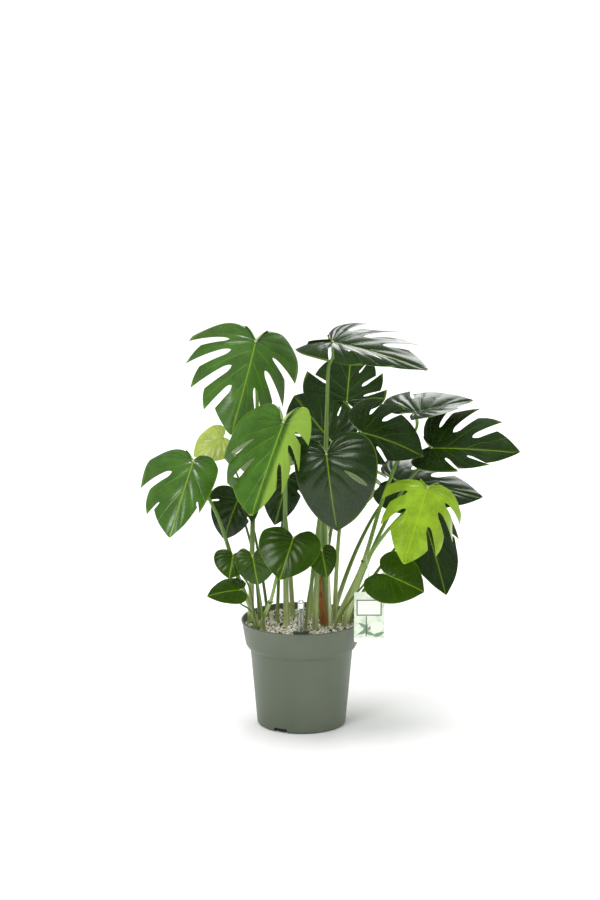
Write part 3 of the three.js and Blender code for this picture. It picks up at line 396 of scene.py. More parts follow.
def blade_sheet(leaf, detail):
    """The blade's middle sheet: flat places, growth values, faces and their corners' growth values."""
    index, flats, growth, faces, corners = {}, [], [], [], []

    def vertex(x, y, values):
        key = (round(x * 1e5), round(y * 1e5))
        if key not in index:
            index[key] = len(flats)
            flats.append((x, y))
            growth.append(values)
        return index[key]

    def face(side, ring):
        kept = [c for k, c in enumerate(ring) if c[0] != ring[k - 1][0]]
        if len(kept) > 2:
            if side > 0:
                kept.reverse()
            faces.append([c[0] for c in kept])
            corners.append([c[1] for c in kept])

    end = MARGIN[-1][2]
    for half, side in ((0, -1), (1, 1)):
        first, origins = [], []
        for grid in half_lobes(leaf, half, round(76 * detail), [round(n * detail) for n in (9, 14, 5)]):
            rows = []
            for line in grid:
                x, y = flat_points(leaf, half, line[:, 0], line[:, 1])
                rows.append([
                    (vertex(side * px, py, (v[0], v[1], v[3], v[2])), (side * v[2], v[1]))
                    for px, py, v in zip(x, y, line)
                ])
            for below, above in zip(rows, rows[1:]):
                for c in range(1, len(below)):
                    face(side, [below[c - 1], below[c], above[c], above[c - 1]])
            for corner, s in zip(rows[0], grid[0][:, 0]):
                if not first or corner[0] != first[-1][0]:
                    first.append(corner)
                    origins.append(along_rows(MARGIN, np.array([s]))[0][2])
        rib = [vertex(0, end * k / RIB_STEPS, (0, 0, 0, 0)) for k in range(RIB_STEPS + 1)]
        a = b = 0
        while a < len(rib) - 1 or b < len(first) - 1:
            next_rib = end * (a + 0.5) / RIB_STEPS if a < len(rib) - 1 else math.inf
            next_first = origins[b + 1] if b < len(first) - 1 else math.inf
            vein = first[b][1][0]
            if next_first <= next_rib:
                face(side, [(rib[a], (vein, 0)), first[b + 1], first[b]])
                b += 1
            else:
                face(side, [(rib[a], (vein, 0)), (rib[a + 1], (vein, 0)), first[b]])
                a += 1
    return np.array(flats), np.array(growth), faces, corners


def sheet_normals(points, faces):
    """Unit normals at the points of a sheet, weighted by area."""
    triangles = np.array([(f[0], f[k], f[k + 1]) for f in faces for k in range(1, len(f) - 1)])
    a, b, c = (points[triangles[:, k]] for k in range(3))
    cross = np.cross(b - a, c - a)
    normals = np.zeros_like(points)
    for k in range(3):
        np.add.at(normals, triangles[:, k], cross)
    return normals / np.maximum(np.linalg.norm(normals, axis=1), 1e-12)[:, None]


def blade_mesh(leaf, settings):
    """Closed blade: quilted between its veins, rippled at its margin, with a midrib on its underside."""
    detail = 1 if leaf["length"] > BIG_LEAF else 0.62
    flats, growth, faces, corners = blade_sheet(leaf, detail)
    x, y = flats.T
    s, t, across_lobe, vein = growth.T
    middle = bend_points(leaf, x, y)
    size = leaf["length"]
    phase = sum(map(ord, leaf["name"])) % 7
    away = 1 - np.exp(-(x * size / 5) ** 2)
    swell = (0.5 - np.abs(vein % 1 - 0.5)) * 2
    quilt = -settings.quilting / MM * (np.clip(swell, 0, 1) ** 2 - 0.4) * away * (1 - t**4)
    ripple = 0.007 * size * t**3 * (np.sin(17 * s + phase) + 0.6 * np.sin(31 * s + 2 * phase)) * (1 - s**6)
    turn = leaf["twist"] * across_lobe * 5
    valley = -0.9 * np.exp(-(x * size / 3.5) ** 2) * np.clip(1 - y, 0, 1)
    normals = sheet_normals(middle, faces)
    middle = middle + normals * (quilt + ripple * away + turn + valley)[:, None]
    normals = sheet_normals(middle, faces)
    half = settings.thickness / MM / 2
    girth = np.clip(1 - y, 0.1, 1.1) * (0.4 + 0.6 * min(size / 180, 1))
    ridge = settings.rib / MM * girth * np.exp(-(x * size / (2.2 * girth + 0.4)) ** 2)
    upper = middle + normals * half
    lower = middle - normals * (half + ridge)[:, None]
    points = np.concatenate([upper, lower]) @ leaf_axes(leaf) + leaf["joint"]
    edges = {}
    for ring in faces:
        for k, v in enumerate(ring):
            edges[v, ring[(k + 1) % len(ring)]] = None
    count = len(flats)
    rings, marks, sides = [], [], []
    for ring, values in zip(faces, corners):
        rings += [ring, [v + count for v in reversed(ring)]]
        marks += [values, values[::-1]]
        sides += [0, 1]
    for v, w in edges:
        if (w, v) not in edges:
            rings.append([w, v, v + count, w + count])
            marks.append([(growth[k][3], growth[k][1]) for k in (w, v, v, w)])
            sides.append(1)
    flat = np.concatenate([flats, flats]) * size * MM
    layers = {
        "growth": [m for mark in marks for m in mark],
        "blade": [flat[v] for ring in rings for v in ring],
    }
    return points * MM, rings, layers, sides


# ---------------------------------------------------------------- lines, tubes and meshes
def smooth_line(points, steps):
    """Evenly spaced points on a centripetal spline through these points."""
    p = np.array(points, float)
    p = np.concatenate([[2 * p[0] - p[1]], p, [2 * p[-1] - p[-2]]])
    dense = []
    for k in range(1, len(p) - 2):
        gaps = [np.linalg.norm(p[k + j] - p[k + j - 1]) ** 0.5 for j in range(3)]
        start = (p[k] - p[k - 1]) / gaps[0] - (p[k + 1] - p[k - 1]) / (gaps[0] + gaps[1])
        start = (start + (p[k + 1] - p[k]) / gaps[1]) * gaps[1]
        stop = (p[k + 1] - p[k]) / gaps[1] - (p[k + 2] - p[k]) / (gaps[1] + gaps[2])
        stop = (stop + (p[k + 2] - p[k + 1]) / gaps[2]) * gaps[1]
        u = np.linspace(0, 1, 60)[:, None]
        dense.append((2 * u**3 - 3 * u**2 + 1) * p[k] + (u**3 - 2 * u**2 + u) * start
                     + (3 * u**2 - 2 * u**3) * p[k + 1] + (u**3 - u**2) * stop)
    dense = np.concatenate(dense)
    travelled = np.concatenate([[0], np.cumsum(np.linalg.norm(np.diff(dense, axis=0), axis=1))])
    places = np.linspace(0, travelled[-1], steps + 1)
    return np.stack([np.interp(places, travelled, dense[:, k]) for k in range(3)], 1)


def carried_axes(line, closed=False):
    """Two cross axes at each point of a line, carried along it without twisting."""
    tangents = np.roll(line, -1, 0) - np.roll(line, 1, 0) if closed else np.gradient(line, axis=0)
    tangents /= np.linalg.norm(tangents, axis=1)[:, None]
    first = np.array((1.0, 0, 0)) if abs(tangents[0][0]) < 0.8 else np.array((0, 1.0, 0))
    axes = []
    for tangent in tangents:
        first = first - first @ tangent * tangent
        first /= np.linalg.norm(first)
        axes.append((first, np.cross(tangent, first)))
    return axes


def tube(line, radii, sides, groove=0.0, closed=False):
    """Closed tube along a line: vertices, faces and a UV map with u round it and v along it."""
    axes = carried_axes(line, closed)
    angles = 2 * math.pi * np.arange(sides) / sides
    shape = 1 - groove * np.exp(-((angles - math.pi / 2) / 0.5) ** 2)
    points = np.concatenate([
        centre + radius * (np.outer(np.cos(angles) * shape, a) + np.outer(np.sin(angles) * shape, b))
        for centre, radius, (a, b) in zip(line, radii, axes)
    ])
    rows = len(line)
    rings, marks = [], []
    for i in range(rows if closed else rows - 1):
        above = (i + 1) % rows
        for k in range(sides):
            after = (k + 1) % sides
            rings.append([i * sides + k, i * sides + after, above * sides + after, above * sides + k])
            u, v, step = k / sides, i / (rows - 1), 1 / (rows - 1)
            marks += [(u, v), (u + 1 / sides, v), (u + 1 / sides, v + step), (u, v + step)]
    if not closed:
        for ring, v in (([*range(sides)][::-1], 0), ([*range((rows - 1) * sides, rows * sides)], 1)):
            rings.append(ring)
            marks += [(0.5, v)] * sides
    return points, rings, {"along": marks}


def make_piece(name, points, faces, materials, layers=None, choice=None, smooth=50):
    """A named mesh object at the origin, with its UV maps, its materials and smooth shading."""
    mesh = bpy.data.meshes.new(name)
    mesh.from_pydata(np.asarray(points).tolist(), [], [list(map(int, f)) for f in faces])
    for layer, values in (layers or {}).items():
        mesh.uv_layers.new(name=layer).data.foreach_set("uv", np.array(values, np.float32).ravel())
    for material in materials:
        mesh.materials.append(material)
    if choice is not None:
        mesh.polygons.foreach_set("material_index", choice)
    mesh.shade_smooth()
    mesh.set_sharp_from_angle(angle=math.radians(smooth))
    mesh.validate()
    piece = bpy.data.objects.new(name, mesh)
    bpy.context.scene.collection.objects.link(piece)
    return piece


def applied(piece):
    """A new mesh of a piece with its modifiers applied."""
    bpy.context.view_layer.update()
    evaluated = piece.evaluated_get(bpy.context.evaluated_depsgraph_get())
    return bpy.data.meshes.new_from_object(evaluated)


def outward(piece):
    """Turns every face of a closed piece outwards."""
    shape = bmesh.new()
    shape.from_mesh(piece.data)
    bmesh.ops.recalc_face_normals(shape, faces=shape.faces)
    shape.to_mesh(piece.data)
    shape.free()
    return piece


def settle(piece, node):
    """Makes a finished piece part of the plant in the place of a CAD node."""
    low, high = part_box(node)
    size = (high - low).length
    corners = [Vector(c) for c in zip(*[(min(v.co[k] for v in piece.data.vertices),
                                         max(v.co[k] for v in piece.data.vertices)) for k in range(3)])]
    if (corners[0] - low).length + (corners[1] - high).length > PLACE_SHARE * size + PLACE_SLACK:
        raise RuntimeError(f"{piece.name} has left the place of {node}")
    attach(piece, "root")
    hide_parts(node)


def turned(profile, sides):
    """Vertices and faces of a closed profile of (radius, height), turned about +Z from its axis."""
    angles = 2 * math.pi * np.arange(sides) / sides
    points, starts = [], []
    for radius, height in profile:
        starts.append(len(points))
        if radius < 1e-7:
            points.append((0, 0, height))
        else:
            points += [(radius * math.cos(a), radius * math.sin(a), height) for a in angles]
    faces = []
    for i in range(len(profile) - 1):
        low, high = starts[i], starts[i + 1]
        for k in range(sides):
            after = (k + 1) % sides
            if profile[i][0] < 1e-7:
                faces.append([low, high + after, high + k])
            elif profile[i + 1][0] < 1e-7:
                faces.append([low + k, low + after, high])
            else:
                faces.append([low + k, low + after, high + after, high + k])
    return np.array(points), faces


def rounded(profile, radius, steps=4):
    """The profile with each of its inner corners replaced by a small arc."""
    result = [profile[0]]
    for before, corner, after in zip(profile, profile[1:], profile[2:]):
        corner = np.array(corner)
        ways = [np.array(p) - corner for p in (before, after)]
        reach = [min(radius, np.linalg.norm(w) * 0.45) for w in ways]
        start, stop = (corner + w / np.linalg.norm(w) * r for w, r in zip(ways, reach))
        for k in range(steps + 1):
            u = k / steps
            result.append(tuple((1 - u) ** 2 * start + 2 * u * (1 - u) * corner + u**2 * stop))
    result.append(profile[-1])
    return result


# ---------------------------------------------------------------- shader building
class Wire:
    """A value in a material's node tree; arithmetic on it adds Math nodes."""

    def __init__(self, paint, socket):
        self.paint, self.socket = paint, socket

    def math(self, operation, *values):
        return self.paint.node("ShaderNodeMath", {"operation": operation}, dict(enumerate(values)))

    def __add__(self, other):
        return self.math("ADD", self, other)

    def __sub__(self, other):
        return self.math("SUBTRACT", self, other)

    def __rsub__(self, other):
        return self.math("SUBTRACT", other, self)

    def __mul__(self, other):
        return self.math("MULTIPLY", self, other)

    def __truediv__(self, other):
        return self.math("DIVIDE", self, other)

    def __pow__(self, other):
        return self.math("POWER", self, other)

    def __abs__(self):
        return self.math("ABSOLUTE", self)

    __radd__ = __add__
    __rmul__ = __mul__

    def fract(self):
        return self.math("FRACT", self)

    def most(self, other):
        return self.math("MAXIMUM", self, other)


class Paint:
    """One material and the nodes that make it."""

    def __init__(self, name):
        self.material = bpy.data.materials.new(name)
        self.material.use_nodes = True
        self.tree = self.material.node_tree
        self.tree.nodes.clear()

    def node(self, kind, settings=None, values=None, output=None):
        """Adds a node, applies its settings, fills its sockets, and returns one of its outputs."""
        node = self.tree.nodes.new(kind)
        for key, value in (settings or {}).items():
            if key == "stops":
                stops = node.color_ramp.elements
                while len(stops) < len(value):
                    stops.new(0.5)
                for stop, (place, tint) in zip(stops, value):
                    stop.position, stop.color = place, (*tint, 1)
            else:
                setattr(node, key, value)
        for key, value in (values or {}).items():
            socket = self.find(node.inputs, key)
            if isinstance(value, Wire):
                self.tree.links.new(value.socket, socket)
            elif isinstance(value, (tuple, list)) and socket.type == "RGBA":
                socket.default_value = (*value[:3], 1)
            else:
                socket.default_value = value
        if not node.outputs:
            return None
        return Wire(self, self.find(node.outputs, output if output is not None else 0))

    @staticmethod
    def find(sockets, key):
        """A socket by its number, identifier or name."""
        if isinstance(key, int):
            return sockets[key]
        for socket in sockets:
            if key in (socket.identifier, socket.name):
                return socket
        raise KeyError(f"no socket {key}")

    def spot(self):
        """Place on the piece, in metres."""
        return self.node("ShaderNodeTexCoord", output="Object")

    def uv(self, layer):
        """The two values of a UV map."""
        place = self.node("ShaderNodeUVMap", {"uv_map": layer})
        return self.split(place)[:2]

    def split(self, vector):
        """The three parts of a vector."""
        parts = self.node("ShaderNodeSeparateXYZ", None, {0: vector})
        return [Wire(self, s) for s in parts.socket.node.outputs]

    def join(self, x, y, z=0.0):
        """A vector from three values."""
        return self.node("ShaderNodeCombineXYZ", None, {0: x, 1: y, 2: z})

    def stretched(self, vector, scale):
        """A vector with each part scaled."""
        return self.node("ShaderNodeMapping", None, {"Vector": vector, "Scale": scale})

    def noise(self, vector, scale, detail=2.0, roughness=0.5):
        """Cloudy values about 0.5."""
        return self.node("ShaderNodeTexNoise", None, {
            "Vector": vector, "Scale": scale, "Detail": detail, "Roughness": roughness}, "Fac")

    def cells(self, vector, scale, feature="F1"):
        """Distance to the middle or to the edge of the nearest cell."""
        return self.node("ShaderNodeTexVoronoi", {"feature": feature},
                         {"Vector": vector, "Scale": scale}, "Distance")

    def step(self, value, low, high):
        """Smooth step of a value: 0 at low and 1 at high."""
        return self.node("ShaderNodeMapRange", {"interpolation_type": "SMOOTHSTEP"},
                         {"Value": value, "From Min": low, "From Max": high}, "Result")

    def mix(self, share, first, second):
        """A colour between two colours."""
        return self.node("ShaderNodeMix", {"data_type": "RGBA"},
                         {"Factor_Float": share, "A_Color": first, "B_Color": second}, "Result_Color")

    def ramp(self, value, stops):
        """A colour from a value."""
        return self.node("ShaderNodeValToRGB", {"stops": stops}, {"Fac": value}, "Color")

    def bump(self, height, strength, distance):
        """A normal from a height in shares of the distance, in metres."""
        return self.node("ShaderNodeBump", None,
                         {"Height": height, "Strength": strength, "Distance": distance}, "Normal")

    def finish(self, values):
        """Ends the tree in a Principled shader with these sockets, and returns the material."""
        surface = self.node("ShaderNodeBsdfPrincipled", None, values, "BSDF")
        self.node("ShaderNodeOutputMaterial", None, {"Surface": surface})
        return self.material


def scaled(tint, amount):
    """A colour made lighter or darker."""
    return tuple(min(1, c * amount) for c in tint)


def between(first, second, share):
    """A colour between two colours, worked out here."""
    return tuple(a + (b - a) * share for a, b in zip(first, second))


# ---------------------------------------------------------------- finishes
def blade_finish(name, tone, settings):
    """Waxy upper side of a blade: mottled green, pale veins, a pale midrib and edge, fine bumps."""
    look = TONES[tone]
    body, pale = tuple(getattr(settings, look["body"])), tuple(settings.pale)
    pale_rib = between(scaled(body, 1.8), tuple(settings.lime), 0.7)
    paint = Paint(name)
    spot = paint.spot()
    vein, out = paint.uv("growth")
    x, y = paint.uv("blade")
    cloud = paint.noise(spot, 26, 3)
    fine = paint.noise(spot, 190, 2)
    ground = paint.mix(paint.step(cloud, 0.35, 0.68), scaled(body, 0.8), scaled(body, 1.22))
    ground = paint.mix(paint.step(fine, 0.4, 0.75) * 0.4, ground, scaled(body, 1.35))
    if tone == "folded":
        turned_away = paint.step(x, 0.006, 0.016)
        ground = paint.mix(turned_away, ground, paint.mix(cloud, scaled(pale, 0.85), pale))
    off_vein = abs(abs(vein).fract() - 0.5)
    line = (1 - paint.step(off_vein * (out + 0.12), 0.004, 0.02)) * paint.step(out, 0.02, 0.12)
    fading = 1 - paint.step(out, 0.45, 0.95)
    ground = paint.mix(line * (fading * look["veins"] + 0.04), ground, pale_rib)
    net = 1 - paint.step(paint.cells(paint.join(x, y), 150, "DISTANCE_TO_EDGE"), 0.0, 0.12)
    ground = paint.mix(net * 0.04, ground, pale_rib)
    rib = 1 - paint.step(abs(x), 0.0006, 0.0017)
    halo = 1 - paint.step(abs(x), 0.001, 0.005)
    ground = paint.mix(halo * 0.12, ground, pale_rib)
    ground = paint.mix(rib * (look["rib"] - paint.step(y, 0.02, 0.16) * 0.3), ground, pale_rib)
    edge = paint.step(out, 0.965, 0.99)
    ground = paint.mix(edge * 0.35, ground, pale_rib)
    relief = fine * 0.12 + net * -0.05 + line * -0.5 + rib * 0.4 + cloud * 0.5
    return paint.finish({
        "Base Color": ground,
        "Roughness": cloud * 0.12 + 0.15 + fine * 0.05,
        "IOR": 1.5,
        "Specular IOR Level": look["gloss"],
        "Coat Weight": look["gloss"] * COAT_SHARE,
        "Coat Roughness": 0.16,
        "Normal": paint.bump(relief, 0.55, 0.0012),
    })


def underside_finish(name, tone, settings):
    """Matt lower side of a blade, with raised veins."""
    body = tuple(settings.under)
    if tone in ("lime", "young"):
        body = between(body, tuple(settings.lime), 0.6)
    # A leaf in the shade gets a darker underside as well: painted shade.
    if tone == "dark":
        body = scaled(body, 0.72)
    paint = Paint(name)
    vein, out = paint.uv("growth")
    x, _ = paint.uv("blade")
    cloud = paint.noise(paint.spot(), 30, 3)
    ground = paint.mix(cloud, scaled(body, 0.85), scaled(body, 1.12))
    off_vein = abs(abs(vein).fract() - 0.5)
    line = (1 - paint.step(off_vein * (out + 0.12), 0.008, 0.035)) * paint.step(out, 0, 0.1)
    rib = 1 - paint.step(abs(x), 0.001, 0.003)
    ground = paint.mix((line * 0.4).most(rib * 0.8), ground, scaled(between(body, (0.6, 0.7, 0.3), 0.5), 1.1))
    return paint.finish({
        "Base Color": ground,
        "Roughness": cloud * 0.1 + 0.48,
        "Normal": paint.bump(line + cloud * 0.4, 0.5, 0.001),
    })


def stalk_finish(name, foot, top, foot_share=0.3):
    """Fleshy stalk: pale at its foot, green above, with fine streaks along it."""
    paint = Paint(name)
    around, along = paint.uv("along")
    streak = paint.noise(paint.join(around * 26, along * 3), 1.0, 3)
    speck = paint.noise(paint.spot(), 300, 2)
    ground = paint.mix(paint.step(along + streak * 0.12, foot_share * 0.15, foot_share + 0.12), foot, top)
    ground = paint.mix(paint.step(streak, 0.4, 0.7) * 0.35, ground, scaled(top, 1.6))
    ground = paint.mix(paint.step(speck, 0.62, 0.8) * 0.35, ground, scaled(top, 0.6))
    knuckle = paint.step(along, 0.955, 0.985)
    ground = paint.mix(knuckle * 0.75, ground, between(scaled(top, 1.7), (0.45, 0.6, 0.12), 0.4))
    return paint.finish({
        "Base Color": ground,
        "Roughness": speck * 0.12 + 0.34,
        "Normal": paint.bump(streak * 0.8 + speck * 0.4, 0.35, 0.0008),
    })


def pot_finish(settings):
    """Satin moulded plastic with faint flow lines and orange peel."""
    body = tuple(settings.plastic)
    paint = Paint("pot_plastic")
    spot = paint.spot()
    flow = paint.noise(paint.stretched(spot, (34, 34, 3)), 1.0, 3)
    cloud = paint.noise(spot, 9, 3)
    peel = paint.noise(spot, 900, 1)
    dust = paint.noise(spot, 60, 5, 0.7)
    ground = paint.mix(flow, scaled(body, 0.93), scaled(body, 1.07))
    ground = paint.mix(paint.step(cloud, 0.4, 0.75) * 0.25, ground, between(body, (0.3, 0.3, 0.27), 0.35))
    ground = paint.mix(paint.step(dust, 0.62, 0.8) * 0.16, ground, (0.42, 0.41, 0.37))
    return paint.finish({
        "Base Color": ground,
        "Roughness": flow * 0.1 + 0.36 + dust * 0.08,
        "Normal": paint.bump(peel * 0.5 + flow * 0.5, 0.12, 0.0006),
    })


def grain_finish():
    """Dry mineral grains: mostly cream and grey, some tan, a few dark."""
    paint = Paint("mineral_grains")
    spot = paint.spot()
    tone = paint.node("ShaderNodeAttribute", {"attribute_name": "tone"}, None, "Fac")
    pores = paint.cells(spot, 900)
    cloud = paint.noise(spot, 420, 4, 0.65)
    ground = paint.ramp(tone, [(0, (0.04, 0.03, 0.02)), (0.1, (0.16, 0.12, 0.07)),
                               (0.2, (0.5, 0.45, 0.33)), (0.45, (0.7, 0.67, 0.56)),
                               (0.75, (0.8, 0.78, 0.69)), (1, (0.88, 0.87, 0.81))])
    ground = paint.mix(paint.step(cloud, 0.5, 0.8) * 0.3, ground, (0.4, 0.34, 0.24))
    # The pits are painted darker: painted shade in the pits.
    ground = paint.mix((1 - paint.step(pores, 0.1, 0.32)) * 0.25, ground, (0.2, 0.16, 0.11))
    return paint.finish({
        "Base Color": ground,
        "Roughness": cloud * 0.1 + 0.84,
        "Normal": paint.bump(cloud + pores * 0.6, 0.8, 0.0008),
    })


def medium_finish():
    """Finer mineral mix that lies between and below the loose grains."""
    paint = Paint("mineral_mix")
    spot = paint.spot()
    cell = paint.node("ShaderNodeTexVoronoi", None, {"Vector": spot, "Scale": 260}, "Color")
    gap = paint.cells(spot, 260)
    shade = paint.split(cell)[0]
    ground = paint.ramp(shade, [(0, (0.02, 0.015, 0.01)), (0.35, (0.1, 0.08, 0.055)),
                                (0.7, (0.34, 0.3, 0.23)), (1, (0.6, 0.56, 0.47))])
    # Below 0.15 m the mix is painted near-black: painted shade deep in the pot.
    ground = paint.mix(paint.step(paint.split(spot)[2], 0.15, 0.19), (0.008, 0.007, 0.006), ground)
    # Away from each cell's middle the mix is painted near-black: painted shade in the gaps between grains.
    ground = paint.mix(paint.step(gap, 0.3, 0.62), ground, (0.02, 0.015, 0.01))
    return paint.finish({
        "Base Color": ground,
        "Roughness": shade * 0.1 + 0.86,
        "Normal": paint.bump(1 - gap, 0.9, 0.002),
    })


def sheath_finish():
    """Papery dried sheath with fibres along it."""
    paint = Paint("dried_sheath")
    around, along = paint.uv("along")
    fibre = paint.noise(paint.join(around * 30, along * 2), 1.0, 4, 0.6)
    cloud = paint.noise(paint.spot(), 70, 3)
    ground = paint.ramp(fibre, [(0.25, linear("5a3315")), (0.5, linear("a0682f")), (0.75, linear("d0a468"))])
    ground = paint.mix(paint.step(cloud, 0.5, 0.75) * 0.6, ground, linear("4a2a14"))
    return paint.finish({
        "Base Color": ground,
        "Roughness": cloud * 0.15 + 0.68,
        "Normal": paint.bump(fibre, 0.7, 0.0007),
    })


def moulded_finish(name, tint, roughness=0.4, grain=500):
    """Small moulded part with a fine grain."""
    paint = Paint(name)
    spot = paint.spot()
    grit = paint.noise(spot, grain, 2)
    cloud = paint.noise(spot, 60, 2)
    return paint.finish({
        "Base Color": paint.mix(cloud, scaled(tint, 0.8), scaled(tint, 1.25)),
        "Roughness": grit * 0.15 + roughness,
        "Normal": paint.bump(grit, 0.2, 0.0003),
    })


def clear_finish():
    """Clear hard plastic with a few faint scuffs."""
    paint = Paint("clear_tube")
    scuff = paint.noise(paint.stretched(paint.spot(), (300, 300, 40)), 1.0, 3)
    return paint.finish({
        "Base Color": paint.mix(scuff, (0.9, 0.94, 0.92), (0.98, 1.0, 0.99)),
        "Roughness": paint.step(scuff, 0.55, 0.85) * 0.25 + 0.04,
        "IOR": 1.46,
        "Transmission Weight": 1.0,
    })


def tag_finish(settings):
    """Coated card, printed with a plain plant picture, an empty frame and a pale disc."""
    low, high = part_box("plant_tag")
    paint = Paint("tag_print")
    x, _, z = paint.split(paint.spot())
    across = (x - low.x) / (high.x - low.x)
    up = (z - low.z) / (high.z - low.z)
    aspect = (high.z - low.z) / (high.x - low.x)
    card, ink, green = tuple(settings.card), tuple(settings.ink), tuple(settings.print_green)
    place = paint.join(across, up * aspect)
    wash = paint.noise(place, 4.5, 3)
    ground = paint.mix(paint.step(wash, 0.42, 0.7), card, between(card, green, 0.3))

    def disc(cx, cy, radius, soft=0.012):
        gap = ((across - cx) ** 2 + ((up - cy) * aspect) ** 2) ** 0.5
        return 1 - paint.step(gap, radius - soft, radius + soft)

    def picture_leaf(cx, cy, degrees, size, slim):
        turn = math.radians(degrees)
        dx, dy = across - cx, (up - cy) * aspect
        along = dx * math.cos(turn) + dy * math.sin(turn)
        side = dy * math.cos(turn) - dx * math.sin(turn)
        share = along / size
        rim = slim * (1 - share**2).most(0) * (1 - share * 0.35)
        return paint.step(rim - abs(side), -0.004, 0.008)

    picture = None
    for cx, cy, degrees, size, slim in ((0.3, 0.33, 150, 0.2, 0.06), (0.36, 0.26, 60, 0.22, 0.05),
                                        (0.56, 0.3, 35, 0.2, 0.05), (0.3, 0.2, 205, 0.22, 0.06),
                                        (0.52, 0.17, -20, 0.2, 0.055), (0.82, 0.16, 20, 0.2, 0.07)):
        leaf = picture_leaf(cx, cy, degrees, size, slim)
        picture = leaf if picture is None else picture.most(leaf)
    ground = paint.mix(picture * 0.85, ground, paint.mix(wash, scaled(green, 0.55), green))
    stem = (1 - paint.step(abs(across - 0.4), 0.014, 0.026)) * paint.step(up, 0.1, 0.14)
    stem = stem * (1 - paint.step(up, 0.5, 0.53))
    ground = paint.mix(stem * 0.9, ground, scaled(green, 0.35))
    ground = paint.mix(disc(0.74, 0.3, 0.2), ground, between(card, (1, 1, 1), 0.3))

    def box(x0, x1, y0, y1):
        return (paint.step(across, x0 - 0.006, x0 + 0.006) * (1 - paint.step(across, x1 - 0.006, x1 + 0.006))
                * paint.step(up, y0 - 0.004, y0 + 0.004) * (1 - paint.step(up, y1 - 0.004, y1 + 0.004)))

    outer, inner = box(0.08, 0.9, 0.53, 0.845), box(0.115, 0.865, 0.55, 0.825)
    ground = paint.mix(outer, ground, ink)
    ground = paint.mix(inner, ground, between(card, (1, 1, 1), 0.45))
    ground = paint.mix(1 - paint.step(up, 0.085, 0.095), ground, (0.86, 0.87, 0.83))
    return paint.finish({
        "Base Color": ground,
        "Roughness": wash * 0.1 + 0.34,
        "Normal": paint.bump(paint.noise(paint.spot(), 600, 2), 0.08, 0.0003),
    })


# ---------------------------------------------------------------- pieces
NOTCH_ANGLES = (-118.5, 1.5, 121.5)
NOTCH_OUTLINE = ((-0.0155, -0.001), (0.0155, -0.001), (0.01375, 0.009), (-0.01375, 0.009))
NOTCH_REACH = (-0.102, -0.074)
POT_CREASE = 32          # degrees between two faces from which their edge is sharp
FEWEST_GRAIN_FACES = 5000
RISE_SEED, TURN_SEED, SIZE_SEED, TONE_SEED = 11, 12, 13, 14
STALK_GAP = 1.9          # from the joint to the skin of the stalk under it
ELBOW_BACK, ELBOW_DROP = 14, 12


def stalk_line(leaf, steps):
    """The line of a leaf's stalk, from its foot to the joint, in millimetres."""
    up = leaf_axes(leaf)[2]
    joint = np.array(leaf["joint"], float)
    end = joint - up * (STALK_GAP + leaf["thick"][1] * 0.85)
    elbow = end - up * ELBOW_BACK - (0, 0, ELBOW_DROP)
    if leaf["foot"]:
        x, y = leaf["foot"]
        start = [(x, y, STEM_FOOT - 6), (x, y, STEM_FOOT + 10)]
    else:
        x, y, z = MAIN_STEM["points"][-1]
        start = [(x, y, z - 4)]
    return smooth_line([*start, *leaf["via"], elbow, end, joint - up * 0.6], steps)


def taper(thick, shares):
    """Radius of a stalk at shares of its line."""
    base, tip = thick
    return base + (tip - base) * shares**0.7


class PLANT_OT_pot(Operator):
    """Builds the nursery pot with its rounded rim and drain notches"""

    bl_idname = "plant.add_pot"
    bl_label = "Add Pot"

    def execute(self, context):
        settings = context.scene.plant_pot
        low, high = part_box("pot")
        rim, height = high.x, high.z
        outside = [(0, 0), (0.085, 0), (0.088, 0.003), (0.102, 0.156), (0.107, 0.158), (0.111, 0.165),
                   (rim - 0.0014, height - 0.005), (rim, height - 0.0035), (rim - 0.0006, height - 0.0006),
                   (rim - 0.0022, height)]
        inside = [(rim - 0.004, height - 0.001), (0.1086, 0.166), (0.1046, 0.161), (0.0996, 0.156),
                  (0.0856, 0.004), (0.0836, 0.003), (0, 0.003)]
        points, faces = turned(rounded(outside + inside, settings.lip), settings.sides)
        body = make_piece("nursery_pot", points, faces, [pot_finish(settings)],
                          smooth=POT_CREASE)
        for degrees in NOTCH_ANGLES:
            cutter = self.notch(math.radians(degrees))
            cut = body.modifiers.new("drain notch", "BOOLEAN")
            cut.operation, cut.solver, cut.object = "DIFFERENCE", "EXACT", cutter
        mesh = applied(body)
        cutters = [m.object for m in body.modifiers]
        body.modifiers.clear()
        body.data = mesh
        for cutter in cutters:
            bpy.data.objects.remove(cutter)
        mesh.set_sharp_from_angle(angle=math.radians(POT_CREASE))
        settle(body, "pot")
        return {"FINISHED"}

    @staticmethod
    def notch(angle):
        """A wedge-sided block where the pot's foot is cut open for drainage."""
        turn = Matrix.Rotation(angle + math.pi / 2, 3, "Z")
        points = [turn @ Vector((x, y, z)) for y in NOTCH_REACH for x, z in NOTCH_OUTLINE]
        faces = [(0, 1, 2, 3), (7, 6, 5, 4), *[(k, k + 4, (k + 1) % 4 + 4, (k + 1) % 4) for k in range(4)]]
        mesh = bpy.data.meshes.new("notch")
        mesh.from_pydata(points, [], faces)
        cutter = outward(bpy.data.objects.new("notch", mesh))
        bpy.context.scene.collection.objects.link(cutter)
        return cutter


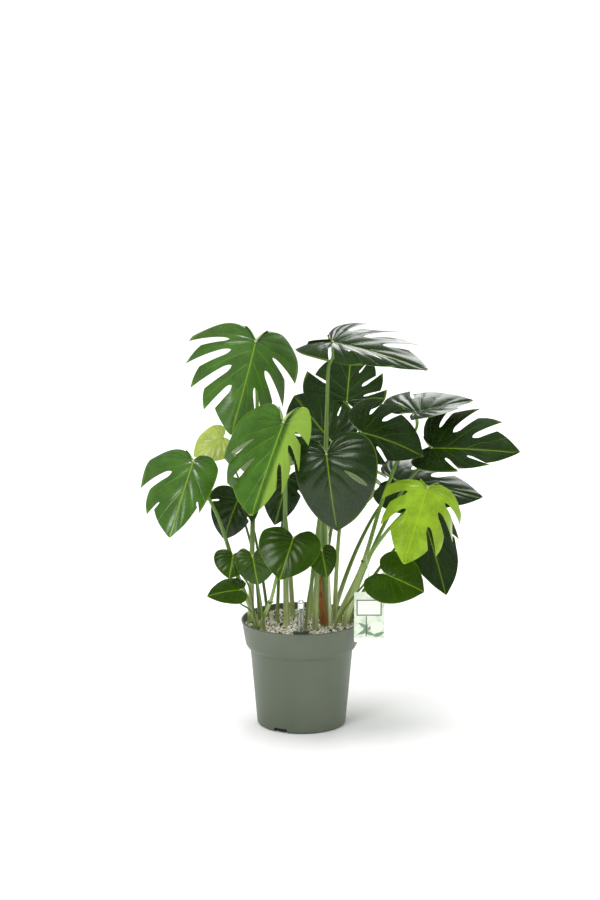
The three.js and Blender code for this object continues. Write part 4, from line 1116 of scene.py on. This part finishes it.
class PLANT_OT_medium(Operator):
    """Dresses the growing medium and scatters loose mineral grains on it"""

    bl_idname = "plant.add_medium"
    bl_label = "Add Growing Medium"

    def execute(self, context):
        settings = context.scene.plant_pot
        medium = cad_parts["growing_medium"]
        medium.material_slots[0].material = medium_finish()
        low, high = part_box("growing_medium")
        tree = self.grain_tree()
        carrier = bpy.data.objects.new("grain_carrier", bpy.data.meshes.new("grain_carrier"))
        context.scene.collection.objects.link(carrier)
        modifier = carrier.modifiers.new("grains", "NODES")
        modifier.node_group = tree
        inputs = {"Radius": high.x - 0.002, "Height": high.z + 0.0008, "Spacing": settings.grain,
                  "Grain Size": settings.grain_size, "Seed": settings.grain_seed,
                  "Material": grain_finish()}
        for item in tree.interface.items_tree:
            if item.in_out == "INPUT" and item.name in inputs:
                modifier[item.identifier] = inputs[item.name]
        mesh = applied(carrier)
        carrier.modifiers.clear()
        bpy.data.objects.remove(carrier)
        mesh.name = "loose_grains"
        if len(mesh.polygons) < FEWEST_GRAIN_FACES:
            raise RuntimeError("the grains weren't scattered")
        grains = bpy.data.objects.new("loose_grains", mesh)
        context.scene.collection.objects.link(grains)
        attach(grains, "root")
        return {"FINISHED"}

    @staticmethod
    def grain_tree():
        """Scatters lumpy grains over a disc, each with a tone of its own."""
        tree = bpy.data.node_groups.new("mineral grains", "GeometryNodeTree")
        face = tree.interface
        for name, kind in (("Radius", "Float"), ("Height", "Float"), ("Spacing", "Float"),
                           ("Grain Size", "Float"), ("Seed", "Int"), ("Material", "Material")):
            face.new_socket(name, in_out="INPUT", socket_type=f"NodeSocket{kind}")
        face.new_socket("Geometry", in_out="OUTPUT", socket_type="NodeSocketGeometry")
        link = tree.links.new
        given = tree.nodes.new("NodeGroupInput").outputs

        def add(kind, settings=None, **values):
            node = tree.nodes.new(kind)
            for key, value in (settings or {}).items():
                setattr(node, key, value)
            for key, value in values.items():
                socket = next(s for s in node.inputs if s.enabled and s.name.replace(" ", "_") == key)
                if isinstance(value, bpy.types.NodeSocket):
                    link(value, socket)
                else:
                    socket.default_value = value
            return node

        def out(node):
            return next(s for s in node.outputs if s.enabled)

        disc = add("GeometryNodeMeshCircle", {"fill_type": "NGON"}, Radius=given["Radius"], Vertices=64)
        points = add("GeometryNodeDistributePointsOnFaces", {"distribute_method": "POISSON"},
                     Mesh=out(disc), Distance_Min=given["Spacing"], Density_Max=120000.0,
                     Seed=given["Seed"])
        rise = add("FunctionNodeRandomValue", {"data_type": "FLOAT"}, Min=-0.0012, Max=0.0022,
                   Seed=RISE_SEED)
        lift = add("ShaderNodeMath", {"operation": "ADD"})
        link(out(rise), lift.inputs[0])
        link(given["Height"], lift.inputs[1])
        offset = add("ShaderNodeCombineXYZ", Z=out(lift))
        placed = add("GeometryNodeSetPosition", Geometry=points.outputs["Points"], Offset=out(offset))
        ball = add("GeometryNodeMeshUVSphere", Segments=7, Rings=5, Radius=given["Grain Size"])
        turn = add("FunctionNodeRandomValue", {"data_type": "FLOAT_VECTOR"}, Max=(6.28, 6.28, 6.28),
                   Seed=TURN_SEED)
        size = add("FunctionNodeRandomValue", {"data_type": "FLOAT_VECTOR"}, Min=(0.5, 0.45, 0.4),
                   Max=(1.3, 1.15, 0.95), Seed=SIZE_SEED)
        spread = add("GeometryNodeInstanceOnPoints", Points=out(placed), Instance=out(ball),
                     Rotation=out(turn), Scale=out(size))
        tone = add("FunctionNodeRandomValue", {"data_type": "FLOAT"}, Seed=TONE_SEED)
        marked = add("GeometryNodeStoreNamedAttribute", {"data_type": "FLOAT", "domain": "INSTANCE"},
                     Geometry=out(spread), Name="tone", Value=out(tone))
        real = add("GeometryNodeRealizeInstances", Geometry=out(marked))
        lump = add("ShaderNodeTexNoise", Scale=210.0, Detail=1.0)
        centred = add("ShaderNodeVectorMath", {"operation": "SUBTRACT"})
        link(lump.outputs["Color"], centred.inputs[0])
        centred.inputs[1].default_value = (0.5, 0.5, 0.5)
        pushed = add("ShaderNodeVectorMath", {"operation": "SCALE"}, Scale=0.0042)
        link(out(centred), pushed.inputs[0])
        lumpy = add("GeometryNodeSetPosition", Geometry=out(real), Offset=out(pushed))
        shaded = add("GeometryNodeSetMaterial", Geometry=out(lumpy), Material=given["Material"])
        link(out(shaded), tree.nodes.new("NodeGroupOutput").inputs[0])
        return tree


class PLANT_OT_leaves(Operator):
    """Builds every leaf: its blade, and the stalk that carries it"""

    bl_idname = "plant.add_leaves"
    bl_label = "Add Leaves"

    def execute(self, context):
        settings = context.scene.plant_leaf
        uppers = {tone: blade_finish(f"blade_{tone}", tone, settings) for tone in TONES}
        unders = {tone: underside_finish(f"underside_{tone}", tone, settings) for tone in TONES}
        green, foot = tuple(settings.stalk), tuple(settings.foot)
        stalks = {
            "long": stalk_finish("stalk_long", foot, green),
            "thin": stalk_finish("stalk_thin", between(foot, green, 0.5), scaled(green, 0.75), 0.2),
            "bright": stalk_finish("stalk_bright", foot, scaled(green, 1.35), 0.5),
        }
        for leaf in LEAVES:
            tone = leaf["tone"]
            points, faces, layers, choice = blade_mesh(leaf, settings)
            piece = make_piece(f"leaf_{leaf['name']}", points, faces, [uppers[tone], unders[tone]],
                               layers, choice)
            settle(piece, f"blade_{leaf['name']}")
            steps = 72 if leaf["length"] > BIG_LEAF else 48
            line = stalk_line(leaf, steps)
            shares = np.linspace(0, 1, steps + 1)
            radii = taper(leaf["thick"], shares)
            radii *= 1 + 0.3 * np.exp(-((shares - 0.965) / 0.014) ** 2) + 0.18 * np.exp(-shares / 0.03)
            radii[-3:] *= (0.9, 0.75, 0.5)
            kind = "thin" if leaf["thick"][0] < 5 else "bright" if leaf["name"] in BRIGHT_STALKS else "long"
            points, faces, layers = tube(line, radii, 24, 0.12)
            piece = make_piece(f"stalk_{leaf['name']}", points * MM, faces, [stalks[kind]], layers)
            settle(piece, f"petiole_{leaf['name']}")
        return {"FINISHED"}


class PLANT_OT_stem(Operator):
    """Builds the main stem with its leaf scars, and the dried sheath that hugs it"""

    bl_idname = "plant.add_stem"
    bl_label = "Add Main Stem"

    def execute(self, context):
        settings = context.scene.plant_leaf
        green, foot = tuple(settings.stalk), tuple(settings.foot)
        steps = 110
        shares = np.linspace(0, 1, steps + 1)
        line = smooth_line(MAIN_STEM["points"], steps)
        line[0][2] -= 5
        radii = taper(MAIN_STEM["thick"], shares)
        for scar in STEM_SCARS:
            radii *= 1 + 0.05 * np.exp(-((shares - scar) / 0.012) ** 2)
        radii[-4:] *= (0.96, 0.88, 0.74, 0.5)
        points, faces, layers = tube(line, radii, 40, 0.1)
        piece = make_piece("main_stem", points * MM, faces, [self.skin(green, foot)], layers)
        settle(piece, "main_stem")
        self.sheath()
        return {"FINISHED"}

    @staticmethod
    def skin(green, foot):
        """Green stem with a cream side."""
        paint = Paint("stem_skin")
        around, along = paint.uv("along")
        across = paint.split(paint.spot())[0]
        streak = paint.noise(paint.join(around * 22, along * 3), 1.0, 3)
        speck = paint.noise(paint.spot(), 260, 2)
        ground = paint.mix(paint.step(streak, 0.35, 0.7), green, scaled(green, 1.5))
        cream = paint.step(across + (streak + along) * 0.004, 0.0545, 0.0575)
        ground = paint.mix(cream, ground, linear("dcdcb8"))
        ground = paint.mix((1 - paint.step(along, 0.0, 0.14)) * 0.5, ground, foot)
        ground = paint.mix(paint.step(speck, 0.64, 0.8) * 0.3, ground, scaled(green, 0.6))
        return paint.finish({
            "Base Color": ground,
            "Roughness": speck * 0.12 + 0.36,
            "Normal": paint.bump(streak + speck * 0.5, 0.4, 0.0008),
        })

    @staticmethod
    def sheath():
        """A papery strip round part of the stem, ragged at its top and curling off it."""
        steps, arc, places, half = 60, 26, 200, 0.22
        line = smooth_line(MAIN_STEM["points"], places)
        middle, marks = [], []
        for i in range(steps + 1):
            v = i / steps
            share = SHEATH["start"] + (SHEATH["end"] - SHEATH["start"]) * v
            centre = line[round(share * places)]
            radius = taper(MAIN_STEM["thick"], np.array(share)) + 0.9
            spread = SHEATH["spread"] * (1 - 0.75 * v**1.5)
            for k in range(arc + 1):
                u = k / arc
                angle = math.radians(SHEATH["heading"] + spread * (2 * u - 1))
                ragged = 3.5 * math.sin(9 * u + 1) * v**5 + 1.4 * math.sin(31 * u) * v**4
                wave = 0.35 * math.sin(24 * v + 5 * u) * (0.3 + v)
                curl = 1.6 * (abs(2 * u - 1) ** 4) * (0.25 + v)
                flare = radius * (1 + 0.16 * v**2) + 0.6 + wave + curl
                middle.append((centre[0] + flare * math.cos(angle), centre[1] + flare * math.sin(angle),
                               centre[2] + ragged))
                marks.append((u, v))
        middle, row = np.array(middle), arc + 1
        faces = [[i * row + k, i * row + k + 1, (i + 1) * row + k + 1, (i + 1) * row + k]
                 for i in range(steps) for k in range(arc)]
        normals = sheet_normals(middle, faces)
        count = len(middle)
        edges = {(f[k], f[(k + 1) % 4]) for f in faces for k in range(4)}
        rims = [[w, v, v + count, w + count] for v, w in sorted(edges) if (w, v) not in edges]
        rings = [*faces, *[[v + count for v in reversed(f)] for f in faces], *rims]
        points = np.concatenate([middle + normals * half, middle - normals * half])
        layer = {"along": [marks[v % count] for ring in rings for v in ring]}
        piece = make_piece("dried_sheath", points * MM, rings, [sheath_finish()], layer)
        settle(piece, "dried_sheath")


class PLANT_OT_gauge(Operator):
    """Builds the water gauge: its clear tube, the float inside and the holder"""

    bl_idname = "plant.add_gauge"
    bl_label = "Add Water Gauge"

    def execute(self, context):
        settings = context.scene.plant_tag
        low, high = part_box("gauge_tube")
        x, y, radius = (low.x + high.x) / 2, (low.y + high.y) / 2, (high.x - low.x) / 2
        wall = 0.0012

        def dome(r):
            arc = [math.radians(a) for a in range(0, 91, 6)]
            return [(r * math.sin(a), high.z - radius + r * math.cos(a)) for a in arc]

        collar = [(radius, high.z - radius - 0.012), (radius * 0.96, high.z - radius - 0.013),
                  (radius * 0.96, high.z - radius - 0.015), (radius, high.z - radius - 0.016)]
        profile = [*dome(radius), *collar, (radius, low.z), (radius - wall, low.z),
                   *dome(radius - wall)[::-1]]
        points, faces = turned(profile, 48)
        tube_piece = outward(make_piece("gauge_tube", points + (x, y, 0), faces, [clear_finish()]))
        settle(tube_piece, "gauge_tube")

        low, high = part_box("gauge_float")
        profile = rounded([(0, low.z), (0.004, low.z), (0.004, low.z + 0.039), (0.0014, low.z + 0.041),
                           (0.0014, high.z - 0.0085), (0.0034, high.z - 0.0075),
                           (0.0034, high.z - 0.001), (0, high.z)], 0.0005)
        points, faces = turned(profile, 32)
        dark = moulded_finish("gauge_float", linear("5b655c"), 0.35)
        settle(outward(make_piece("gauge_float", points + (x, y, 0), faces, [dark])), "gauge_float")

        low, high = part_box("gauge_holder")
        inner, outer = radius + 0.0005, radius + 0.009
        bevel = 0.0009
        angles = [math.radians(a) for a in np.linspace(183.6, 356.4, 40)]
        section = [(inner, low.z), (outer - bevel, low.z), (outer, low.z + bevel), (outer, high.z - bevel),
                   (outer - bevel, high.z), (inner + bevel, high.z), (inner, high.z - bevel)]
        points = [(x + r * math.cos(a), y + r * math.sin(a), z) for a in angles for r, z in section]
        n = len(section)
        faces = [[i * n + k, i * n + (k + 1) % n, (i + 1) * n + (k + 1) % n, (i + 1) * n + k]
                 for i in range(len(angles) - 1) for k in range(n)]
        faces += [[*range(n)][::-1], [*range((len(angles) - 1) * n, len(angles) * n)]]
        holder = make_piece("gauge_holder", points, faces,
                            [moulded_finish("gauge_holder", tuple(settings.holder))], smooth=35)
        settle(outward(holder), "gauge_holder")
        return {"FINISHED"}


class PLANT_OT_tag(Operator):
    """Builds the plant tag, its strap and the two stem ties"""

    bl_idname = "plant.add_tag"
    bl_label = "Add Tag and Ties"

    def execute(self, context):
        settings = context.scene.plant_tag
        self.card(settings)
        self.strap()
        wire = moulded_finish("tie_wire", linear("1f211f"), 0.42, 900)
        by_name = {leaf["name"]: leaf for leaf in LEAVES}
        self.tie("stem_tie_left", by_name["heart_front"], wire)
        self.tie("stem_tie_right", by_name["right_top"], wire)
        return {"FINISHED"}

    @staticmethod
    def card(settings):
        """A gently bowed card with rounded corners and an eye near its top."""
        low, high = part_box("plant_tag")
        thin, corner, eye = 0.0006, 0.003, 0.0026
        middle = ((low.x + high.x) / 2, high.z - 0.007)
        rim = []
        for cx, cz, start in ((high.x - corner, high.z - corner, 0), (low.x + corner, high.z - corner, 90),
                              (low.x + corner, low.z + corner, 180), (high.x - corner, low.z + corner, 270)):
            rim += [(cx + corner * math.cos(math.radians(start + 15 * k)),
                     cz + corner * math.sin(math.radians(start + 15 * k))) for k in range(7)]
        shape = bmesh.new()
        outer = [shape.verts.new((x, 0, z)) for x, z in rim]
        inner = [shape.verts.new((middle[0] + eye * math.cos(a), 0, middle[1] + eye * math.sin(a)))
                 for a in (2 * math.pi * k / 24 for k in range(24))]
        edges = [shape.edges.new((ring[k - 1], ring[k])) for ring in (outer, inner) for k in range(len(ring))]
        bmesh.ops.triangle_fill(shape, edges=edges, use_beauty=True)
        for axis, bottom, top in ((Vector((0, 0, 1)), low.z, high.z), (Vector((1, 0, 0)), low.x, high.x)):
            for k in range(1, 16):
                at = axis * (bottom + (top - bottom) * k / 16)
                bmesh.ops.bisect_plane(shape, geom=[*shape.verts, *shape.edges, *shape.faces],
                                       plane_co=at, plane_no=axis)
        bmesh.ops.recalc_face_normals(shape, faces=shape.faces)
        if shape.faces[0].normal.y > 0:
            bmesh.ops.reverse_faces(shape, faces=shape.faces)
        walls = bmesh.ops.extrude_face_region(shape, geom=shape.faces[:])
        for v in walls["geom"]:
            if isinstance(v, bmesh.types.BMVert):
                v.co.y += thin
        bmesh.ops.recalc_face_normals(shape, faces=shape.faces)
        for v in shape.verts:
            share = (v.co.x - low.x) / (high.x - low.x) - 0.5
            v.co.y += low.y + 0.0001 + 0.0022 * (share**2 - 0.06) * (1 - (v.co.z - low.z) / 0.16)
        mesh = bpy.data.meshes.new("plant_tag")
        shape.to_mesh(mesh)
        shape.free()
        mesh.materials.append(tag_finish(settings))
        mesh.shade_smooth()
        mesh.set_sharp_from_angle(angle=math.radians(40))
        card = bpy.data.objects.new("plant_tag", mesh)
        bpy.context.scene.collection.objects.link(card)
        settle(card, "plant_tag")

    @staticmethod
    def strap():
        """The closed loop that the tag hangs from."""
        low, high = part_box("plant_tag")
        x, y, eye = (low.x + high.x) / 2 / MM, low.y / MM + 0.4, high.z / MM - 7
        points = [(x, y, eye), (x, y - 3, eye + 5), (x - 2, -74, 325), (x - 5, -66, 350), (x - 6, -56, 357),
                  (x - 5, -46, 350), (x - 3, -52, 330), (x, y + 3, eye + 5)]
        steps, early, late, radius = 260, 120, 130, 0.65
        line = smooth_line([*points[-2:], *points, *points[:3]], steps)
        start = np.linalg.norm(line - np.array(points[0]), axis=1)
        first = int(np.argmin(start[:early]))
        last = late + int(np.argmin(start[late:]))
        loop = line[first:last]
        points, faces, layers = tube(loop, np.full(len(loop), radius), 10, closed=True)
        finish = moulded_finish("tag_strap", linear("b9c2ae"))
        piece = make_piece("tag_strap", points * MM, faces, [finish], layers)
        settle(piece, "tag_strap")

    @staticmethod
    def tie(name, leaf, finish):
        """Wire wound twice round a stalk, with its two ends twisted together."""
        share, wire, pitch = 0.3, 0.62, 1.5
        line = stalk_line(leaf, 100)
        low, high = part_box(name)
        centre = np.array((low + high) / 2) / MM
        near = int(np.argmin(np.linalg.norm(line - centre, axis=1)))
        tangent = line[near + 1] - line[near - 1]
        tangent /= np.linalg.norm(tangent)
        side = np.cross(tangent, (0, 1.0, 0))
        side /= np.linalg.norm(side)
        front = np.cross(tangent, side)
        front *= -np.sign(front[1])
        radius = taper(leaf["thick"], np.array(share)) + 0.75
        turns = [line[near] + radius * (math.cos(a) * front + math.sin(a) * side)
                 + tangent * pitch * (a / 6.28 - 1)
                 for a in np.linspace(0.12, 4 * math.pi - 0.12, 90)]
        ends = []
        for start, sign in ((turns[0], 1), (turns[-1], -1)):
            stem = [line[near] + front * (radius + r) + side * sign * 0.7 * math.cos(2.4 * r)
                    + tangent * sign * 0.7 * math.sin(2.4 * r) for r in np.linspace(0.6, 2.6, 14)]
            ends.append(stem)
        path = smooth_line([*ends[0][::-1], *turns, *ends[1]], 200)
        points, faces, layers = tube(path, np.full(len(path), wire), 8)
        settle(make_piece(name, points * MM, faces, [finish], layers), name)


# Each softbox's name, place, target, width, power, and whether it is seen in reflections.
SOFTBOXES = (
    ("key", (-1.5, -2.4, 2.3), (0, 0, 0.45), 1.1, 38, True),
    ("rim", (0.9, 2.8, 2.0), (0, 0, 0.5), 1.6, 30, True),
    ("fill", (2.6, -1.6, 0.9), (0, 0, 0.3), 1.2, 22, False),
)
SKY_ENERGY, SKY_ANGLE, SKY_TILT = 3.5, 60, (-6, -8, 0)
WORLD_STRENGTH = 0.3
FLOOR_SIZE = 40
LENS, FAR_CLIP = 140, 100
CAMERA_PLACE, CAMERA_TILT = (-0.003, -6.691, 2.126), 76.8


class PLANT_OT_studio(Operator):
    """Lays the floor, lights the plant softly and sets up the camera"""

    bl_idname = "plant.add_studio"
    bl_label = "Add Studio"

    def execute(self, context):
        scene = context.scene
        half = FLOOR_SIZE / 2
        floor = make_piece("floor", [(-half, -half, 0), (half, -half, 0), (half, half, 0), (-half, half, 0)],
                           [(0, 1, 2, 3)], [self.floor_paint()])
        sky = bpy.data.lights.new("sky panel", "SUN")
        sky.energy, sky.angle = SKY_ENERGY, math.radians(SKY_ANGLE)
        panel = bpy.data.objects.new("sky panel", sky)
        panel.rotation_euler = tuple(map(math.radians, SKY_TILT))
        panel.visible_glossy = False
        scene.collection.objects.link(panel)
        for box in SOFTBOXES:
            self.softbox(*box)
        world = bpy.data.worlds.new("studio")
        scene.world = world
        world.use_nodes = True
        background = world.node_tree.nodes["Background"]
        background.inputs["Color"].default_value = (1, 1, 1, 1)
        background.inputs["Strength"].default_value = WORLD_STRENGTH
        lens = bpy.data.cameras.new("camera")
        lens.lens = LENS
        lens.clip_end = FAR_CLIP
        camera = bpy.data.objects.new("camera", lens)
        camera.location = CAMERA_PLACE
        camera.rotation_euler = (math.radians(CAMERA_TILT), 0, 0)
        scene.collection.objects.link(camera)
        scene.camera = camera
        scene.view_settings.view_transform = "Standard"
        return {"FINISHED"}

    @staticmethod
    def floor_paint():
        """Matt pale floor, hardly mottled."""
        paint = Paint("floor")
        cloud = paint.noise(paint.spot(), 1.5, 2)
        return paint.finish({
            "Base Color": paint.mix(cloud, (0.86, 0.86, 0.86), (0.9, 0.9, 0.9)),
            "Roughness": cloud * 0.1 + 0.85,
        })

    @staticmethod
    def softbox(name, place, target, size, power, mirrored):
        """A square area light aimed at a point."""
        light = bpy.data.lights.new(name, "AREA")
        light.size, light.energy = size, power
        lamp = bpy.data.objects.new(name, light)
        lamp.location = place
        lamp.rotation_euler = (Vector(target) - Vector(place)).to_track_quat("-Z", "Y").to_euler()
        lamp.visible_glossy = mirrored
        bpy.context.scene.collection.objects.link(lamp)


class VIEW3D_PT_plant(Panel):
    """Sidebar panel with the plant's settings and steps"""

    bl_idname = "VIEW3D_PT_plant"
    bl_label = "Potted Monstera"
    bl_space_type = "VIEW_3D"
    bl_region_type = "UI"
    bl_category = "Plant"

    def draw(self, context):
        column = self.layout.column(align=True)
        for step in STEPS:
            column.operator(step.bl_idname)
        for group in (context.scene.plant_pot, context.scene.plant_leaf, context.scene.plant_tag):
            box = self.layout.box()
            for key in group.__annotations__:
                box.prop(group, key)


STEPS = (PLANT_OT_studio, PLANT_OT_pot, PLANT_OT_medium, PLANT_OT_leaves, PLANT_OT_stem, PLANT_OT_gauge,
         PLANT_OT_tag)
CLASSES = (PotSettings, LeafSettings, TagSettings, *STEPS, VIEW3D_PT_plant)


def register():
    """Adds the classes and the scene's settings."""
    for item in CLASSES:
        bpy.utils.register_class(item)
    bpy.types.Scene.plant_pot = PointerProperty(type=PotSettings)
    bpy.types.Scene.plant_leaf = PointerProperty(type=LeafSettings)
    bpy.types.Scene.plant_tag = PointerProperty(type=TagSettings)


def unregister():
    """Removes the classes and the scene's settings."""
    del bpy.types.Scene.plant_pot, bpy.types.Scene.plant_leaf, bpy.types.Scene.plant_tag
    for item in reversed(CLASSES):
        bpy.utils.unregister_class(item)


def main():
    """Builds every piece and the studio."""
    register()
    for step in STEPS:
        group, call = step.bl_idname.split(".")
        getattr(getattr(bpy.ops, group), call)()


if __name__ == "__main__":
    main()
